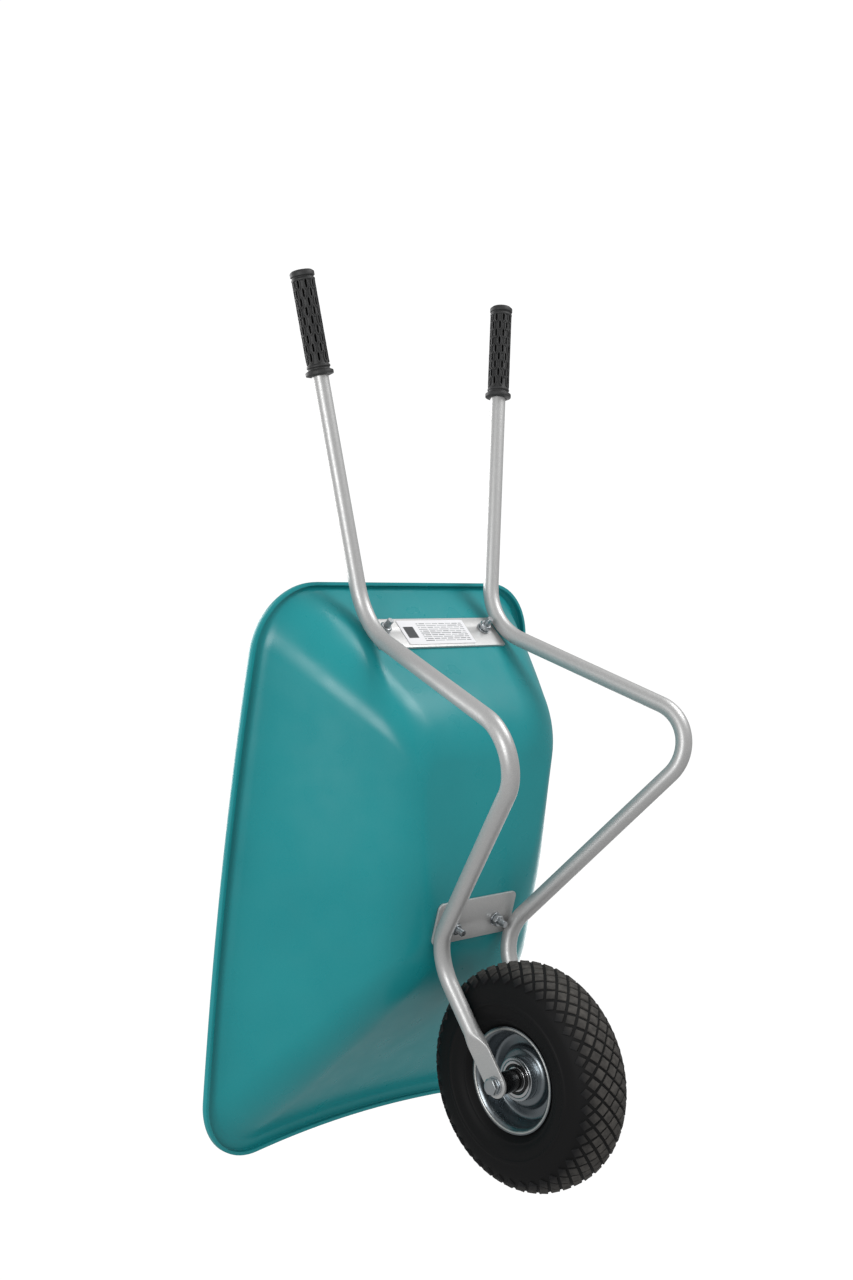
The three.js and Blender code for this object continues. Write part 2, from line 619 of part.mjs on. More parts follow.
const stem = turned([[0, 0], [4, 0], [4, 10], [2.6, 10], [2.6, 14], [0, 14]], 12).rotateX(-Math.PI / 2);
add(wheel, 'valve_stem', stem, BRASS, vec(0, VALVE_Y, VALVE_ROOT));
const cap = turned([
  [0, 14 + GAP], [2.6 + GAP, 14 + GAP], [2.6 + GAP, 10 + GAP], [4.2, 10 + GAP], [4.2, 15], [3.2, 16], [0, 16],
], 12).rotateX(-Math.PI / 2);
add(wheel, 'valve_cap', cap, BUSH_PLASTIC, vec(0, VALVE_Y, VALVE_ROOT));

const HUB_RADIUS = 25;
const BEARING_RADIUS = 21;
const pocket = HUB_HALF_LENGTH - BEARING_WIDTH - GAP;
add(wheel, 'hub', turned([
  [BEARING_RADIUS + GAP, HUB_HALF_LENGTH], [HUB_RADIUS - 1, HUB_HALF_LENGTH], [HUB_RADIUS, HUB_HALF_LENGTH - 1],
  [HUB_RADIUS, 1 - HUB_HALF_LENGTH], [HUB_RADIUS - 1, -HUB_HALF_LENGTH],
  [BEARING_RADIUS + GAP, -HUB_HALF_LENGTH], [BEARING_RADIUS + GAP, -pocket], [18, -pocket], [18, pocket],
  [BEARING_RADIUS + GAP, pocket],
], 24), ZINC);

const FORK_INSIDE = FORK_Y - FORK_THICKNESS / 2;
const FORK_OUTSIDE = FORK_Y + FORK_THICKNESS / 2;
const BEARING_BORE = 10;
for (const [label, side] of [['left', 1], ['right', -1]]) {
  const place = (geometry) => (side > 0 ? geometry : mirrorY(geometry));
  const high = HUB_HALF_LENGTH;
  const low = HUB_HALF_LENGTH - BEARING_WIDTH;
  const spigot = BEARING_BORE - GAP;
  const boltHole = AXLE_BOLT_RADIUS + GAP;
  add(wheel, `bearing_outer_${label}`, place(ring(17.5, BEARING_RADIUS, low, high, 20)), BEARING_STEEL);
  add(wheel, `bearing_seal_${label}`, place(ring(14 + GAP, 17.5 - GAP, high - 1.8, high - 0.6, 20)), BUSH_PLASTIC);
  add(wheel, `bearing_inner_${label}`, place(ring(BEARING_BORE, 14, low, high, 20)), BEARING_STEEL);
  add(wheel, `spacer_bush_${label}`, place(turned([
    [boltHole, low + 1], [spigot, low + 1], [spigot, high + GAP], [12.4, high + GAP],
    [12.4, FORK_INSIDE - GAP], [boltHole, FORK_INSIDE - GAP],
  ])), BUSH_PLASTIC);
  add(wheel, `axle_washer_${label}`, place(ring(boltHole, 10.5, FORK_OUTSIDE + GAP, FORK_OUTSIDE + 2.3, 16)), ZINC);
}
const sleeveEnd = HUB_HALF_LENGTH - BEARING_WIDTH + 1 - GAP;
add(wheel, 'bearing_sleeve', ring(AXLE_BOLT_RADIUS + GAP, 8, -sleeveEnd, sleeveEnd, 16), ZINC);

// ---------------------------------------------------------------- axle bolt and nut
const washerFace = FORK_OUTSIDE + 2.3 + GAP;
const axleHead = prism(polygonShape(6, AXLE_BOLT_RADIUS * 3.4), 6.6).rotateX(-Math.PI / 2)
  .translate(0, washerFace, 0);
const axleShank = new THREE.CylinderGeometry(AXLE_BOLT_RADIUS, AXLE_BOLT_RADIUS, 2 * washerFace + 14, 16)
  .translate(0, -6, 0);
add(wheel, 'axle_bolt', fromManifold(toManifold(axleHead).add(toManifold(axleShank))), ZINC);
const axleNut = prism(withHole(polygonShape(6, AXLE_BOLT_RADIUS * 3.4), AXLE_BOLT_RADIUS + GAP), 8.4)
  .rotateX(Math.PI / 2).translate(0, -washerFace, 0);
add(wheel, 'axle_nut', axleNut, ZINC);

// The origin is on the ground, under the middle of the whole barrow.
const extent = new THREE.Box3().setFromObject(barrow, true);
barrow.position.x = -(extent.min.x + extent.max.x) / 2;

export default barrow;
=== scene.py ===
import json
import math
from contextlib import contextmanager

import bmesh
import bpy
from mathutils import Matrix, Vector


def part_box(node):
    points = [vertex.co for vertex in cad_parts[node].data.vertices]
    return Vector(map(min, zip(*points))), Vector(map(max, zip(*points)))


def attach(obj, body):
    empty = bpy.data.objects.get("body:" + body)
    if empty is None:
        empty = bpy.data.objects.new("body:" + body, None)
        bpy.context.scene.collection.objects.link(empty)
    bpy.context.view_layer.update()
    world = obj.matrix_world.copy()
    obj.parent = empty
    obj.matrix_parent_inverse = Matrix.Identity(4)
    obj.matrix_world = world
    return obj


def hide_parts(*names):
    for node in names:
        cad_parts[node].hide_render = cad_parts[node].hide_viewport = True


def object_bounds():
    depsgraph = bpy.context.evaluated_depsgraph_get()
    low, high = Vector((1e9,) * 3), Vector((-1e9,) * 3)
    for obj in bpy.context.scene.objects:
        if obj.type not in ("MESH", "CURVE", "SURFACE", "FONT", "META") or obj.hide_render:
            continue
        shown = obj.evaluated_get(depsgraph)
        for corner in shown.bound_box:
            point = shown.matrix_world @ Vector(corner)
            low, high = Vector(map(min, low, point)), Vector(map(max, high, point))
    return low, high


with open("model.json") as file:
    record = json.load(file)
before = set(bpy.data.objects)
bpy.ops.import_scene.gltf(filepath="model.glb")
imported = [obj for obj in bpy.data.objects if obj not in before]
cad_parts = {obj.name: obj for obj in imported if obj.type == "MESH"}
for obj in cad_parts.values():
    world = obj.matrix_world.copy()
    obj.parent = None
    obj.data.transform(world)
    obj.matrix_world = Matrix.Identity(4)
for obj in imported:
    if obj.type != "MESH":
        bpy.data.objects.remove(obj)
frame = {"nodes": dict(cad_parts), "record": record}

CAD_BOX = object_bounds()
RECORD = frame["record"]
BODY_OF = {node: body for body, nodes in RECORD["behaviour"]["bodies"].items() for node in nodes}
MM = 0.001

# ---------------------------------------------------------------- driving sizes
GAP = 0.3
WHEEL_RADIUS = 130
TYRE_HALF_WIDTH = 40
TREAD_DEPTH = 2.1
TUBE_RADIUS = 10
TUBE_SKIN = TUBE_RADIUS - 0.3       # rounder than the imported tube, so slightly thinner to stay inside it
FORK_THICKNESS = 4
FORK_EYE_RADIUS = 14.5
FLAT_LENGTH = 36
FLAT_BLEND = 30
GRIP_LENGTH = 122
GRIP_RADIUS = 13.5
PLATE_THICKNESS = 3
FRONT_PLATE = {"length": 52, "half_width": 64, "bolt_y": 35, "bolt_along": 6, "corner": 7}
REAR_PLATE = {"length": 46, "half_width": 104, "bolt_y": 83, "bolt_along": -4, "corner": 2}
SHEET = 4
RIM_DROP = 9
RIM_FLANGE = 19
BOLT_RADIUS = 4
AXLE_BOLT_RADIUS = 5
HUB_HALF_LENGTH = 21
BEARING_WIDTH = 10
RIM_SHEET = 2
RIM_FLANGE_RADIUS = 60.5
SEAT_RADIUS = RIM_FLANGE_RADIUS - 7.5
BEARING_RADIUS = 21
HUB_RADIUS = 25
VALVE_RADIUS = 4
VALVE_ASIDE = 7                     # the valve stands this far to the right of the wheel's middle

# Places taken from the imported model.
tyre_low, tyre_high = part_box("tyre")
AXLE = (Vector(tyre_low) + Vector(tyre_high)) / 2
AXLE_X = AXLE.x / MM
FORK_Y = 52.4


# ---------------------------------------------------------------- selecting and editing
def only(piece):
    """Selects one object and makes it active."""
    bpy.ops.object.select_all(action="DESELECT")
    piece.select_set(True)
    bpy.context.view_layer.objects.active = piece


@contextmanager
def editing(piece):
    """Edit mode on one object."""
    only(piece)
    bpy.ops.object.mode_set(mode="EDIT")
    yield
    bpy.ops.object.mode_set(mode="OBJECT")


def pick(kind, test=None):
    """Selects the vertices, edges or faces of the mesh being edited that pass the test."""
    bpy.ops.mesh.select_mode(type=kind)
    bpy.ops.mesh.select_all(action="DESELECT")
    mesh = bmesh.from_edit_mesh(bpy.context.object.data)
    parts = {"VERT": mesh.verts, "EDGE": mesh.edges, "FACE": mesh.faces}[kind]
    for part in parts:
        if test is None or test(part):
            part.select_set(True)
    mesh.select_flush_mode()
    bmesh.update_edit_mesh(bpy.context.object.data)


def named(name):
    """The object that an operator has just added, under its own name."""
    piece = bpy.context.object
    piece.name = name
    piece.data.name = name
    return piece


def modified(piece, kind, **settings):
    """Adds a modifier with its settings and applies it."""
    only(piece)
    modifier = piece.modifiers.new(kind.title(), kind)
    for key, value in settings.items():
        setattr(modifier, key, value)
    bpy.ops.object.modifier_apply(modifier=modifier.name)


def carve(piece, tool, operation="DIFFERENCE"):
    """Cuts a piece with another, which is then removed."""
    modified(piece, "BOOLEAN", object=tool, operation=operation, solver="EXACT")
    bpy.data.objects.remove(tool)


def placed(piece, matrix):
    """Puts a piece modelled round the origin in its place, and leaves its object at the origin."""
    only(piece)
    piece.matrix_world = matrix
    bpy.ops.object.transform_apply(location=True, rotation=True, scale=True)
    return piece


def copy_of(piece, matrix, name=None):
    """A copy with a mesh of its own, moved by a matrix."""
    twin = piece.copy()
    twin.data = piece.data.copy()
    twin.data.transform(matrix)
    if matrix.determinant() < 0:
        twin.data.flip_normals()
    bpy.context.collection.objects.link(twin)
    if name:
        twin.name = name
        twin.data.name = name
    return twin


def joined(name, pieces):
    """One object out of several."""
    only(pieces[0])
    for piece in pieces:
        piece.select_set(True)
    bpy.ops.object.join()
    return named(name)


def finished(piece, material, slot, *nodes, angle=35):
    """Shading, material, body and the CAD nodes that the piece stands for."""
    only(piece)
    bpy.ops.object.shade_smooth_by_angle(angle=math.radians(angle))
    piece.data.materials.clear()
    piece.data.materials.append(material)
    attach(piece, BODY_OF[nodes[0]])
    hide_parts(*nodes)
    return piece


# ---------------------------------------------------------------- shaping
def start_ring(name, places):
    """A circle whose vertices are dragged to the first ring of a loft; each keeps its number."""
    bpy.ops.object.select_all(action="DESELECT")
    bpy.ops.mesh.primitive_circle_add(vertices=len(places), radius=MM)
    piece = named(name)
    bpy.ops.object.mode_set(mode="EDIT")
    mesh = bmesh.from_edit_mesh(piece.data)
    number = mesh.verts.layers.int.new("number")
    for k, vertex in enumerate(mesh.verts):
        vertex[number] = k
        vertex.co = places[k]
    bmesh.update_edit_mesh(piece.data)
    pick("EDGE")
    return piece


def next_ring(places):
    """Extrudes the selected ring and drags each new vertex to its place."""
    bpy.ops.mesh.extrude_region_move()
    data = bpy.context.object.data
    mesh = bmesh.from_edit_mesh(data)
    number = mesh.verts.layers.int["number"]
    for vertex in mesh.verts:
        if vertex.select:
            vertex.co = places[vertex[number]]
    bmesh.update_edit_mesh(data)


def turned(name, section, round_by=0.0, steps=64, segments=3):
    """A section of (radius, height) points spun once round +Z; its corners are rounded first."""
    bpy.ops.object.select_all(action="DESELECT")
    bpy.ops.mesh.primitive_circle_add(vertices=len(section), radius=MM)
    piece = named(name)
    with editing(piece):
        mesh = bmesh.from_edit_mesh(piece.data)
        for vertex, (radius, height) in zip(mesh.verts, section):
            vertex.co = (radius * MM, 0, height * MM)
        bmesh.update_edit_mesh(piece.data)
        if round_by:
            pick("VERT", lambda v: v.co.x > 1e-6)
            bpy.ops.mesh.bevel(
                offset=round_by * MM, affect="VERTICES", segments=segments, clamp_overlap=True)
        pick("EDGE", lambda e: all(v.co.x < 1e-6 for v in e.verts))
        bpy.ops.mesh.delete(type="EDGE")
        pick("EDGE")
        bpy.ops.mesh.spin(steps=steps, angle=2 * math.pi, center=(0, 0, 0), axis=(0, 0, 1))
        pick("VERT")
        bpy.ops.mesh.remove_doubles(threshold=1e-6)
        bpy.ops.mesh.normals_make_consistent(inside=False)
    return piece


def soft_line(points, per_span=4):
    """A smooth curve through a list of (radius, height) points."""
    line = []
    last = len(points) - 1
    for i in range(last):
        before, a, b, after = (Vector(points[k]) for k in (max(0, i - 1), i, i + 1, min(last, i + 2)))
        for step in range(per_span):
            t = step / per_span
            bend = (2 * before - 5 * a + 4 * b - after) * t**2 + (3 * a - before - 3 * b + after) * t**3
            line.append(tuple(0.5 * (2 * a + (b - before) * t + bend)))
    return line + [tuple(points[last])]


def sheet_section(line, thickness):
    """Both faces of a sheet whose middle line is given as (radius, height) points."""
    faces = [[], []]
    for i, point in enumerate(line):
        along = Vector(line[min(len(line) - 1, i + 1)]) - Vector(line[max(0, i - 1)])
        along.normalize()
        for side, face in zip((0.5, -0.5), faces):
            face.append((point[0] - side * along.y * thickness, point[1] + side * along.x * thickness))
    return faces[0] + faces[1][::-1]


def drill(radius, low, high, steps=32):
    """A rod along Z, for cutting a hole."""
    return turned("drill", [(0, low), (radius, low), (radius, high), (0, high)], steps=steps)


def eased(piece, width, segments, degrees):
    """Rounds every edge sharper than an angle."""
    modified(piece, "BEVEL", width=width * MM, segments=segments, limit_method="ANGLE",
             angle_limit=math.radians(degrees))


def hexagon(name, flats, low, high, hole=0.0, chamfer=1.1):
    """A hexagon prism whose corners are cut back by a cone at both ends, with an optional hole."""
    corner = flats / 2 / math.cos(math.pi / 6)
    bpy.ops.object.select_all(action="DESELECT")
    bpy.ops.mesh.primitive_cylinder_add(
        vertices=6, radius=corner * MM, depth=(high - low) * MM, location=(0, 0, (low + high) / 2 * MM))
    bpy.ops.object.transform_apply(location=True, rotation=True, scale=True)
    prism = named(name)
    face = flats / 2 * 0.93
    cone = turned("cone", [(0, low), (face, low), (corner + 1, low + chamfer * 1.6),
                           (corner + 1, high - chamfer * 1.6), (face, high), (0, high)])
    carve(prism, cone, "INTERSECT")
    if hole:
        carve(prism, drill(hole, low - 2, high + 2))
    eased(prism, 0.25, 2, 25)
    return prism


def thread(radius, low, high, pitch):
    """Half of the section of a screw thread, drawn as rings from the low end to the high end."""
    turns = int((high - low) / pitch)
    depth = pitch * 0.5
    line = [(0, low), (radius - depth, low)]
    for k in range(turns):
        base = low + k * pitch
        line += [(radius - depth, base + pitch * 0.15), (radius, base + pitch * 0.45),
                 (radius, base + pitch * 0.6), (radius - depth, base + pitch * 0.9)]
    return line


# ---------------------------------------------------------------- materials
def srgb(code):
    """Linear RGBA of an sRGB hex colour."""
    parts = [int(code[i:i + 2], 16) / 255 for i in (1, 3, 5)]
    return [c / 12.92 if c <= 0.04045 else ((c + 0.055) / 1.055) ** 2.4 for c in parts] + [1.0]


def per_mm(size):
    """Texture scale at which one feature is this many millimetres wide."""
    return 1 / (size * MM)


def add_node(tree, kind, settings=None, inputs=None):
    """Adds a shader node; an input takes a value, or a socket that is linked to it."""
    node = tree.nodes.new("ShaderNode" + kind)
    for key, value in (settings or {}).items():
        setattr(node, key, value)
    for key, value in (inputs or {}).items():
        if isinstance(value, bpy.types.NodeSocket):
            tree.links.new(value, node.inputs[key])
        else:
            node.inputs[key].default_value = value
    return node


def new_material(name, **shader_inputs):
    """A material with its Principled shader set, and the Object coordinates its patterns read."""
    material = bpy.data.materials.new(name)
    material.use_nodes = True
    tree = material.node_tree
    shader = tree.nodes["Principled BSDF"]
    for key, value in shader_inputs.items():
        shader.inputs[key.replace("_", " ")].default_value = value
    coords = add_node(tree, "TexCoord").outputs["Object"]
    return material, tree, shader, coords


COLOUR_A, COLOUR_B, COLOUR_OUT = 6, 7, 2      # sockets of a Mix node that mixes colours


def blend(tree, factor, first, second):
    """Mixes two colours by a factor; gives the mixed colour."""
    mix = add_node(tree, "Mix", {"data_type": "RGBA"}, {0: factor, COLOUR_A: first, COLOUR_B: second})
    return mix.outputs[COLOUR_OUT]


def noise(tree, coords, size, detail, **more):
    """Noise with blotches of a size in millimetres; gives a value round a half."""
    inputs = {"Vector": coords, "Scale": per_mm(size), "Detail": detail, **more}
    return add_node(tree, "TexNoise", inputs=inputs).outputs["Fac"]


def spread(tree, value, low, high, start=0.3, end=0.7):
    """Stretches the values between start and end to a new range."""
    stretch = add_node(tree, "MapRange", inputs={
        "Value": value, "From Min": start, "From Max": end, "To Min": low, "To Max": high})
    return stretch.outputs["Result"]


def bump(tree, height, strength, distance, **below):
    """A bump with its depth in millimetres, over another normal if one is given; gives the normal."""
    inputs = {"Strength": strength, "Distance": distance * MM, "Height": height, **below}
    return add_node(tree, "Bump", inputs=inputs).outputs["Normal"]


def both(tree, first, second):
    """The product of two values."""
    return add_node(tree, "Math", {"operation": "MULTIPLY"}, {0: first, 1: second}).outputs["Value"]


def close_to(tree, value, middle, reach):
    """One where a value lies within reach of the middle, both in millimetres, and nothing elsewhere."""
    inputs = {0: value, 1: middle * MM, 2: reach * MM}
    return add_node(tree, "Math", {"operation": "COMPARE"}, inputs).outputs["Value"]


def wire(tree, shader, **sockets):
    """Links values to the shader's sockets."""
    for key, socket in sockets.items():
        tree.links.new(socket, shader.inputs[key.replace("_", " ")])


def mould_tray():
    """Injection-moulded HDPE: satin, with a faint orange peel and cloudy flow."""
    material, tree, shader, coords = new_material("hdpe_moulded_teal", Specular_IOR_Level=0.36)
    cloud = noise(tree, coords, 140, 3.0)
    tint = blend(tree, cloud, srgb("#138288"), srgb("#1f9195"))
    speck = noise(tree, coords, 2.2, 2.0)
    scuff = noise(tree, coords, 30, 2.0, Roughness=0.4)
    peel = bump(tree, speck, 0.03, 0.1)
    wire(tree, shader, Base_Color=blend(tree, spread(tree, speck, 0.0, 0.05), tint, srgb("#4aa6ac")),
         Roughness=spread(tree, scuff, 0.26, 0.36), Normal=bump(tree, cloud, 0.25, 3, Normal=peel))
    return material


def coat_frame():
    """Polyester powder coat, silver: fine aluminium flake under an uneven satin gloss."""
    material, tree, shader, coords = new_material("powder_coat_silver", Metallic=0.55)
    flake = add_node(tree, "TexVoronoi", inputs={"Vector": coords, "Scale": per_mm(0.9)})
    silver = blend(tree, flake.outputs["Distance"], srgb("#b4b4b4"), srgb("#cbcbca"))
    wire(tree, shader, Base_Color=silver,
         Roughness=spread(tree, noise(tree, coords, 2.5, 2.0), 0.4, 0.48))
    return material


def plate_zinc(name, colour_low, colour_high, roughness):
    """Zinc plate or bright steel, spun or turned: fine rings round the axle, a faint cloudy tint."""
    material, tree, shader, coords = new_material(name, Metallic=1.0)
    centred = add_node(tree, "Mapping", inputs={"Vector": coords, "Location": -AXLE})
    rings = add_node(tree, "TexWave", {"wave_type": "RINGS", "rings_direction": "Y"}, {
        "Vector": centred.outputs["Vector"], "Scale": per_mm(20), "Distortion": 0.3, "Detail": 1.0})
    cloud = noise(tree, coords, 14, 4.0)
    wire(tree, shader, Base_Color=blend(tree, cloud, srgb(colour_low), srgb(colour_high)),
         Roughness=spread(tree, cloud, roughness - 0.06, roughness + 0.08),
         Normal=bump(tree, rings.outputs["Fac"], 0.03, 0.1))
    return material


def cure_tyre(name, clean, dusty_lit):
    """Vulcanised rubber: deep black with fine mould rings, drier towards the crown and lighter there with
    dust and a painted highlight.
    """
    material, tree, shader, coords = new_material(name, Specular_IOR_Level=0.22)
    centred = add_node(tree, "Mapping", inputs={"Vector": coords, "Location": -AXLE})
    flat = add_node(tree, "VectorMath", {"operation": "MULTIPLY"}, {
        0: centred.outputs["Vector"], 1: (1.0, 0.0, 1.0)})
    radius = add_node(tree, "VectorMath", {"operation": "LENGTH"}, {0: flat.outputs["Vector"]})
    shoulder, crown = (WHEEL_RADIUS - 16) * MM, (WHEEL_RADIUS - 1.6) * MM
    top = spread(tree, radius.outputs["Value"], 0.0, 1.0, shoulder, crown)
    dust = noise(tree, coords, 7, 5.0)
    # Lighter towards the crown: partly dust, partly a painted highlight on the tread tops.
    dust_and_highlight = both(tree, top, dust)
    rings = add_node(tree, "TexWave", {"wave_type": "RINGS", "rings_direction": "Y"}, {
        "Vector": centred.outputs["Vector"], "Scale": per_mm(45), "Distortion": 0.4})
    mould = bump(tree, rings.outputs["Fac"], 0.2, 0.3)
    wire(tree, shader, Base_Color=blend(tree, dust_and_highlight, srgb(clean), srgb(dusty_lit)),
         Roughness=spread(tree, dust_and_highlight, 0.62, 0.9, 0.0, 1.0),
         Normal=bump(tree, dust, 0.3, 0.2, Normal=mould))
    return material


def mould_black(name, low, high, roughness, grain_mm, depth_mm):
    """Black moulded plastic or rubber with a fine leathery grain."""
    material, tree, shader, coords = new_material(name, IOR=1.5)
    grain = noise(tree, coords, grain_mm, 3.0)
    wire(tree, shader, Base_Color=blend(tree, grain, srgb(low), srgb(high)),
         Roughness=spread(tree, grain, roughness - 0.05, roughness + 0.07),
         Normal=bump(tree, grain, 0.35, depth_mm))
    return material


def print_label(middle, slope):
    """Printed polyester film: white, with rows of plain grey bars and one dark block beside them."""
    material, tree, shader, coords = new_material("polyester_film_printed", IOR=1.58, Roughness=0.32)
    flat = add_node(tree, "Mapping", {"vector_type": "TEXTURE"}, {
        "Vector": coords, "Location": middle, "Rotation": (0.0, slope, 0.0)})
    axes = add_node(tree, "SeparateXYZ", inputs={"Vector": flat.outputs["Vector"]})
    along, across = axes.outputs["X"], axes.outputs["Y"]
    turned_flat = add_node(tree, "CombineXYZ", inputs={"X": across, "Y": along})
    bars = add_node(tree, "TexBrick", {"offset": 0.37, "squash": 1.6, "squash_frequency": 2}, {
        "Vector": turned_flat.outputs["Vector"], "Color1": srgb("#6c6f74"), "Color2": srgb("#b4b6b9"),
        "Mortar": srgb("#e9e9eb"), "Scale": 1.0, "Mortar Size": 0.85 * MM, "Mortar Smooth": 0.1,
        "Brick Width": 11 * MM, "Row Height": 3.0 * MM})
    in_rows = both(tree, close_to(tree, along, 0, 15), close_to(tree, across, -12, 38))
    in_block = both(tree, close_to(tree, along, 0, 9), close_to(tree, across, 42, 8))
    rows = blend(tree, in_rows, srgb("#e6e6e9"), bars.outputs["Color"])
    wire(tree, shader, Base_Color=blend(tree, in_block, rows, srgb("#33363a")))
    return material


TRAY_HDPE = mould_tray()
FRAME_PAINT = coat_frame()
ZINC = plate_zinc("steel_zinc_plated", "#b4bac0", "#cdd1d2", 0.26)
RIM_STEEL = plate_zinc("rim_steel_zinc_plated", "#7c8388", "#90979b", 0.3)
# The rolled edge is a much lighter copy of the rim's zinc plate: a painted highlight along the bead.
ROLLED_EDGE_HIGHLIGHT = plate_zinc("rim_edge_zinc_painted_highlight", "#c6c8c6", "#dcdddb", 0.42)
BEARING_STEEL = plate_zinc("bearing_steel_ground", "#c9cbcd", "#dcddde", 0.16)
VALVE_BRASS = plate_zinc("brass_turned", "#a8873f", "#c2a257", 0.3)
TYRE_RUBBER = cure_tyre("rubber_vulcanised_black", "#0c0c0d", "#1b1b1b")
# The tread blocks take a much lighter copy of the carcass rubber seen in the grooves: dust, and a painted
# highlight on the block tops.
TREAD_RUBBER = cure_tyre("rubber_tread_dust_and_highlight", "#141416", "#5f5c58")
TUBE_RUBBER = mould_black("butyl_rubber_black", "#141414", "#1e1e1e", 0.6, 2.0, 0.2)
GRIP_PVC = mould_black("pvc_soft_moulded_black", "#232425", "#303030", 0.55, 1.2, 0.15)
BUSH_NYLON = mould_black("nylon_moulded_black", "#0d0d0e", "#161617", 0.22, 3.0, 0.05)


# ---------------------------------------------------------------- frame tubes
TUBE_CORNERS = [                       # at the left side: place and bend radius
    (Vector((AXLE_X - 922, 165, 301.6)), 0),
    (Vector((AXLE_X - 516, 103.8, 276.1)), 77),
    (Vector((AXLE_X - 389.7, 157.6, -28)), 49),
    (Vector((AXLE_X - 138, FORK_Y, 224)), 53),
    (Vector((AXLE_X, FORK_Y, WHEEL_RADIUS)), 0),
]


def bend_at(i):
    """Start, centre, axis and angle of the bend at one corner of the tube."""
    before, corner, after = (TUBE_CORNERS[k][0] for k in (i - 1, i, i + 1))
    back = (before - corner).normalized()
    ahead = (after - corner).normalized()
    half = back.angle(ahead) / 2
    radius = TUBE_CORNERS[i][1]
    start = corner + back * (radius / math.tan(half))
    centre = corner + (back + ahead).normalized() * (radius / math.sin(half))
    return start, centre, ahead.cross(back).normalized(), math.pi - 2 * half


def make_tube():
    """The left tube: a ring extruded along straights, spun round bends, pressed flat at the fork."""
    sides = 40
    handle, first = TUBE_CORNERS[0][0], bend_at(1)[0]
    run = (first - handle).normalized()
    across = (Vector((0, 1, 0)) - run * run.y).normalized()
    high = run.cross(across)
    turns = [2 * math.pi * (k + 0.5) / sides for k in range(sides)]
    circle = [handle + (across * math.cos(t) + high * math.sin(t)) * TUBE_SKIN for t in turns]
    tube = start_ring("left_frame_tube", [p * MM for p in circle])
    at = handle
    for i in (1, 2, 3):
        start, centre, axis, angle = bend_at(i)
        bpy.ops.mesh.extrude_region_move(TRANSFORM_OT_translate={"value": (start - at) * MM})
        bpy.ops.mesh.spin(steps=max(6, round(math.degrees(angle) / 4)), angle=-angle,
                          center=centre * MM, axis=axis)
        at = Matrix.Rotation(angle, 3, axis) @ (start - centre) + centre
    eye = TUBE_CORNERS[4][0]
    along = (eye - TUBE_CORNERS[3][0]).normalized()
    mesh = bmesh.from_edit_mesh(tube.data)
    number = mesh.verts.layers.int["number"]
    middle = at * MM
    spread = Vector((0, 1, 0))
    tall = along.cross(spread)
    angles = {v[number]: math.atan2((v.co - middle).dot(tall), (v.co - middle).dot(spread))
              for v in mesh.verts if v.select}

    def section(distance, half_across, half_high, squareness):
        """Places of one ring across the fork end, from round (2) to nearly square."""
        places = {}
        for k, angle in angles.items():
            c, s = math.cos(angle), math.sin(angle)
            wide = half_across * math.copysign(abs(c) ** (2 / squareness), c)
            up = half_high * math.copysign(abs(s) ** (2 / squareness), s)
            places[k] = (eye + along * distance + spread * wide + tall * up) * MM
        return places

    half = FORK_THICKNESS / 2
    blend_start = -(FLAT_LENGTH + FLAT_BLEND)
    steps = 10
    for step in range(steps + 1):
        f = step / steps
        ease = f * f * (3 - 2 * f)
        next_ring(section(blend_start + FLAT_BLEND * f, TUBE_SKIN + (half - TUBE_SKIN) * ease,
                          TUBE_SKIN + (FORK_EYE_RADIUS - TUBE_SKIN) * ease, 2 + 6 * ease))
    next_ring(section(-FLAT_LENGTH * 0.5, half, FORK_EYE_RADIUS, 8))
    for angle in range(0, 90, 8):
        turn = math.radians(angle)
        next_ring(section(FORK_EYE_RADIUS * math.sin(turn), half, FORK_EYE_RADIUS * math.cos(turn), 8))
    bpy.ops.mesh.edge_face_add()
    pick("VERT", lambda v: (v.co - handle * MM).length < TUBE_RADIUS * 1.05 * MM)
    bpy.ops.mesh.edge_face_add()
    pick("FACE")
    bpy.ops.mesh.normals_make_consistent(inside=False)
    bpy.ops.object.mode_set(mode="OBJECT")
    across_eye = Matrix.Translation(eye * MM) @ Matrix.Rotation(math.pi / 2, 4, "X")
    carve(tube, placed(drill(AXLE_BOLT_RADIUS + GAP, -9, 9), across_eye))
    return tube


MIRROR = Matrix.Scale(-1, 4, (0, 1, 0))
left_tube = make_tube()
right_tube = copy_of(left_tube, MIRROR, "right_frame_tube")
finished(left_tube, FRAME_PAINT, "frame_paint", "left_tube")
finished(right_tube, FRAME_PAINT, "frame_paint", "right_tube")


# ---------------------------------------------------------------- grips
def grip_leaf():
    """One raised leaf of the grip's pattern: a flat pointed oval with a sunk middle, 20 mm long."""
    bpy.ops.object.select_all(action="DESELECT")
    bpy.ops.mesh.primitive_circle_add(vertices=16, radius=MM, fill_type="NGON")
    leaf = named("leaf")
    with editing(leaf):
        mesh = bmesh.from_edit_mesh(leaf.data)
        for vertex in mesh.verts:
            x, y = vertex.co.x / MM, vertex.co.y / MM
            vertex.co = (2.9 * math.copysign(abs(x) ** 1.25, x) * MM, 10.0 * y * MM, 0)
        bmesh.update_edit_mesh(leaf.data)
        pick("FACE")
        bpy.ops.mesh.extrude_region_move(TRANSFORM_OT_translate={"value": (0, 0, 1.3 * MM)})
        bpy.ops.mesh.inset(thickness=0.35 * MM, depth=0.25 * MM)
        bpy.ops.mesh.inset(thickness=0.8 * MM, depth=0)
        bpy.ops.mesh.inset(thickness=0.3 * MM, depth=-0.5 * MM)
    return leaf


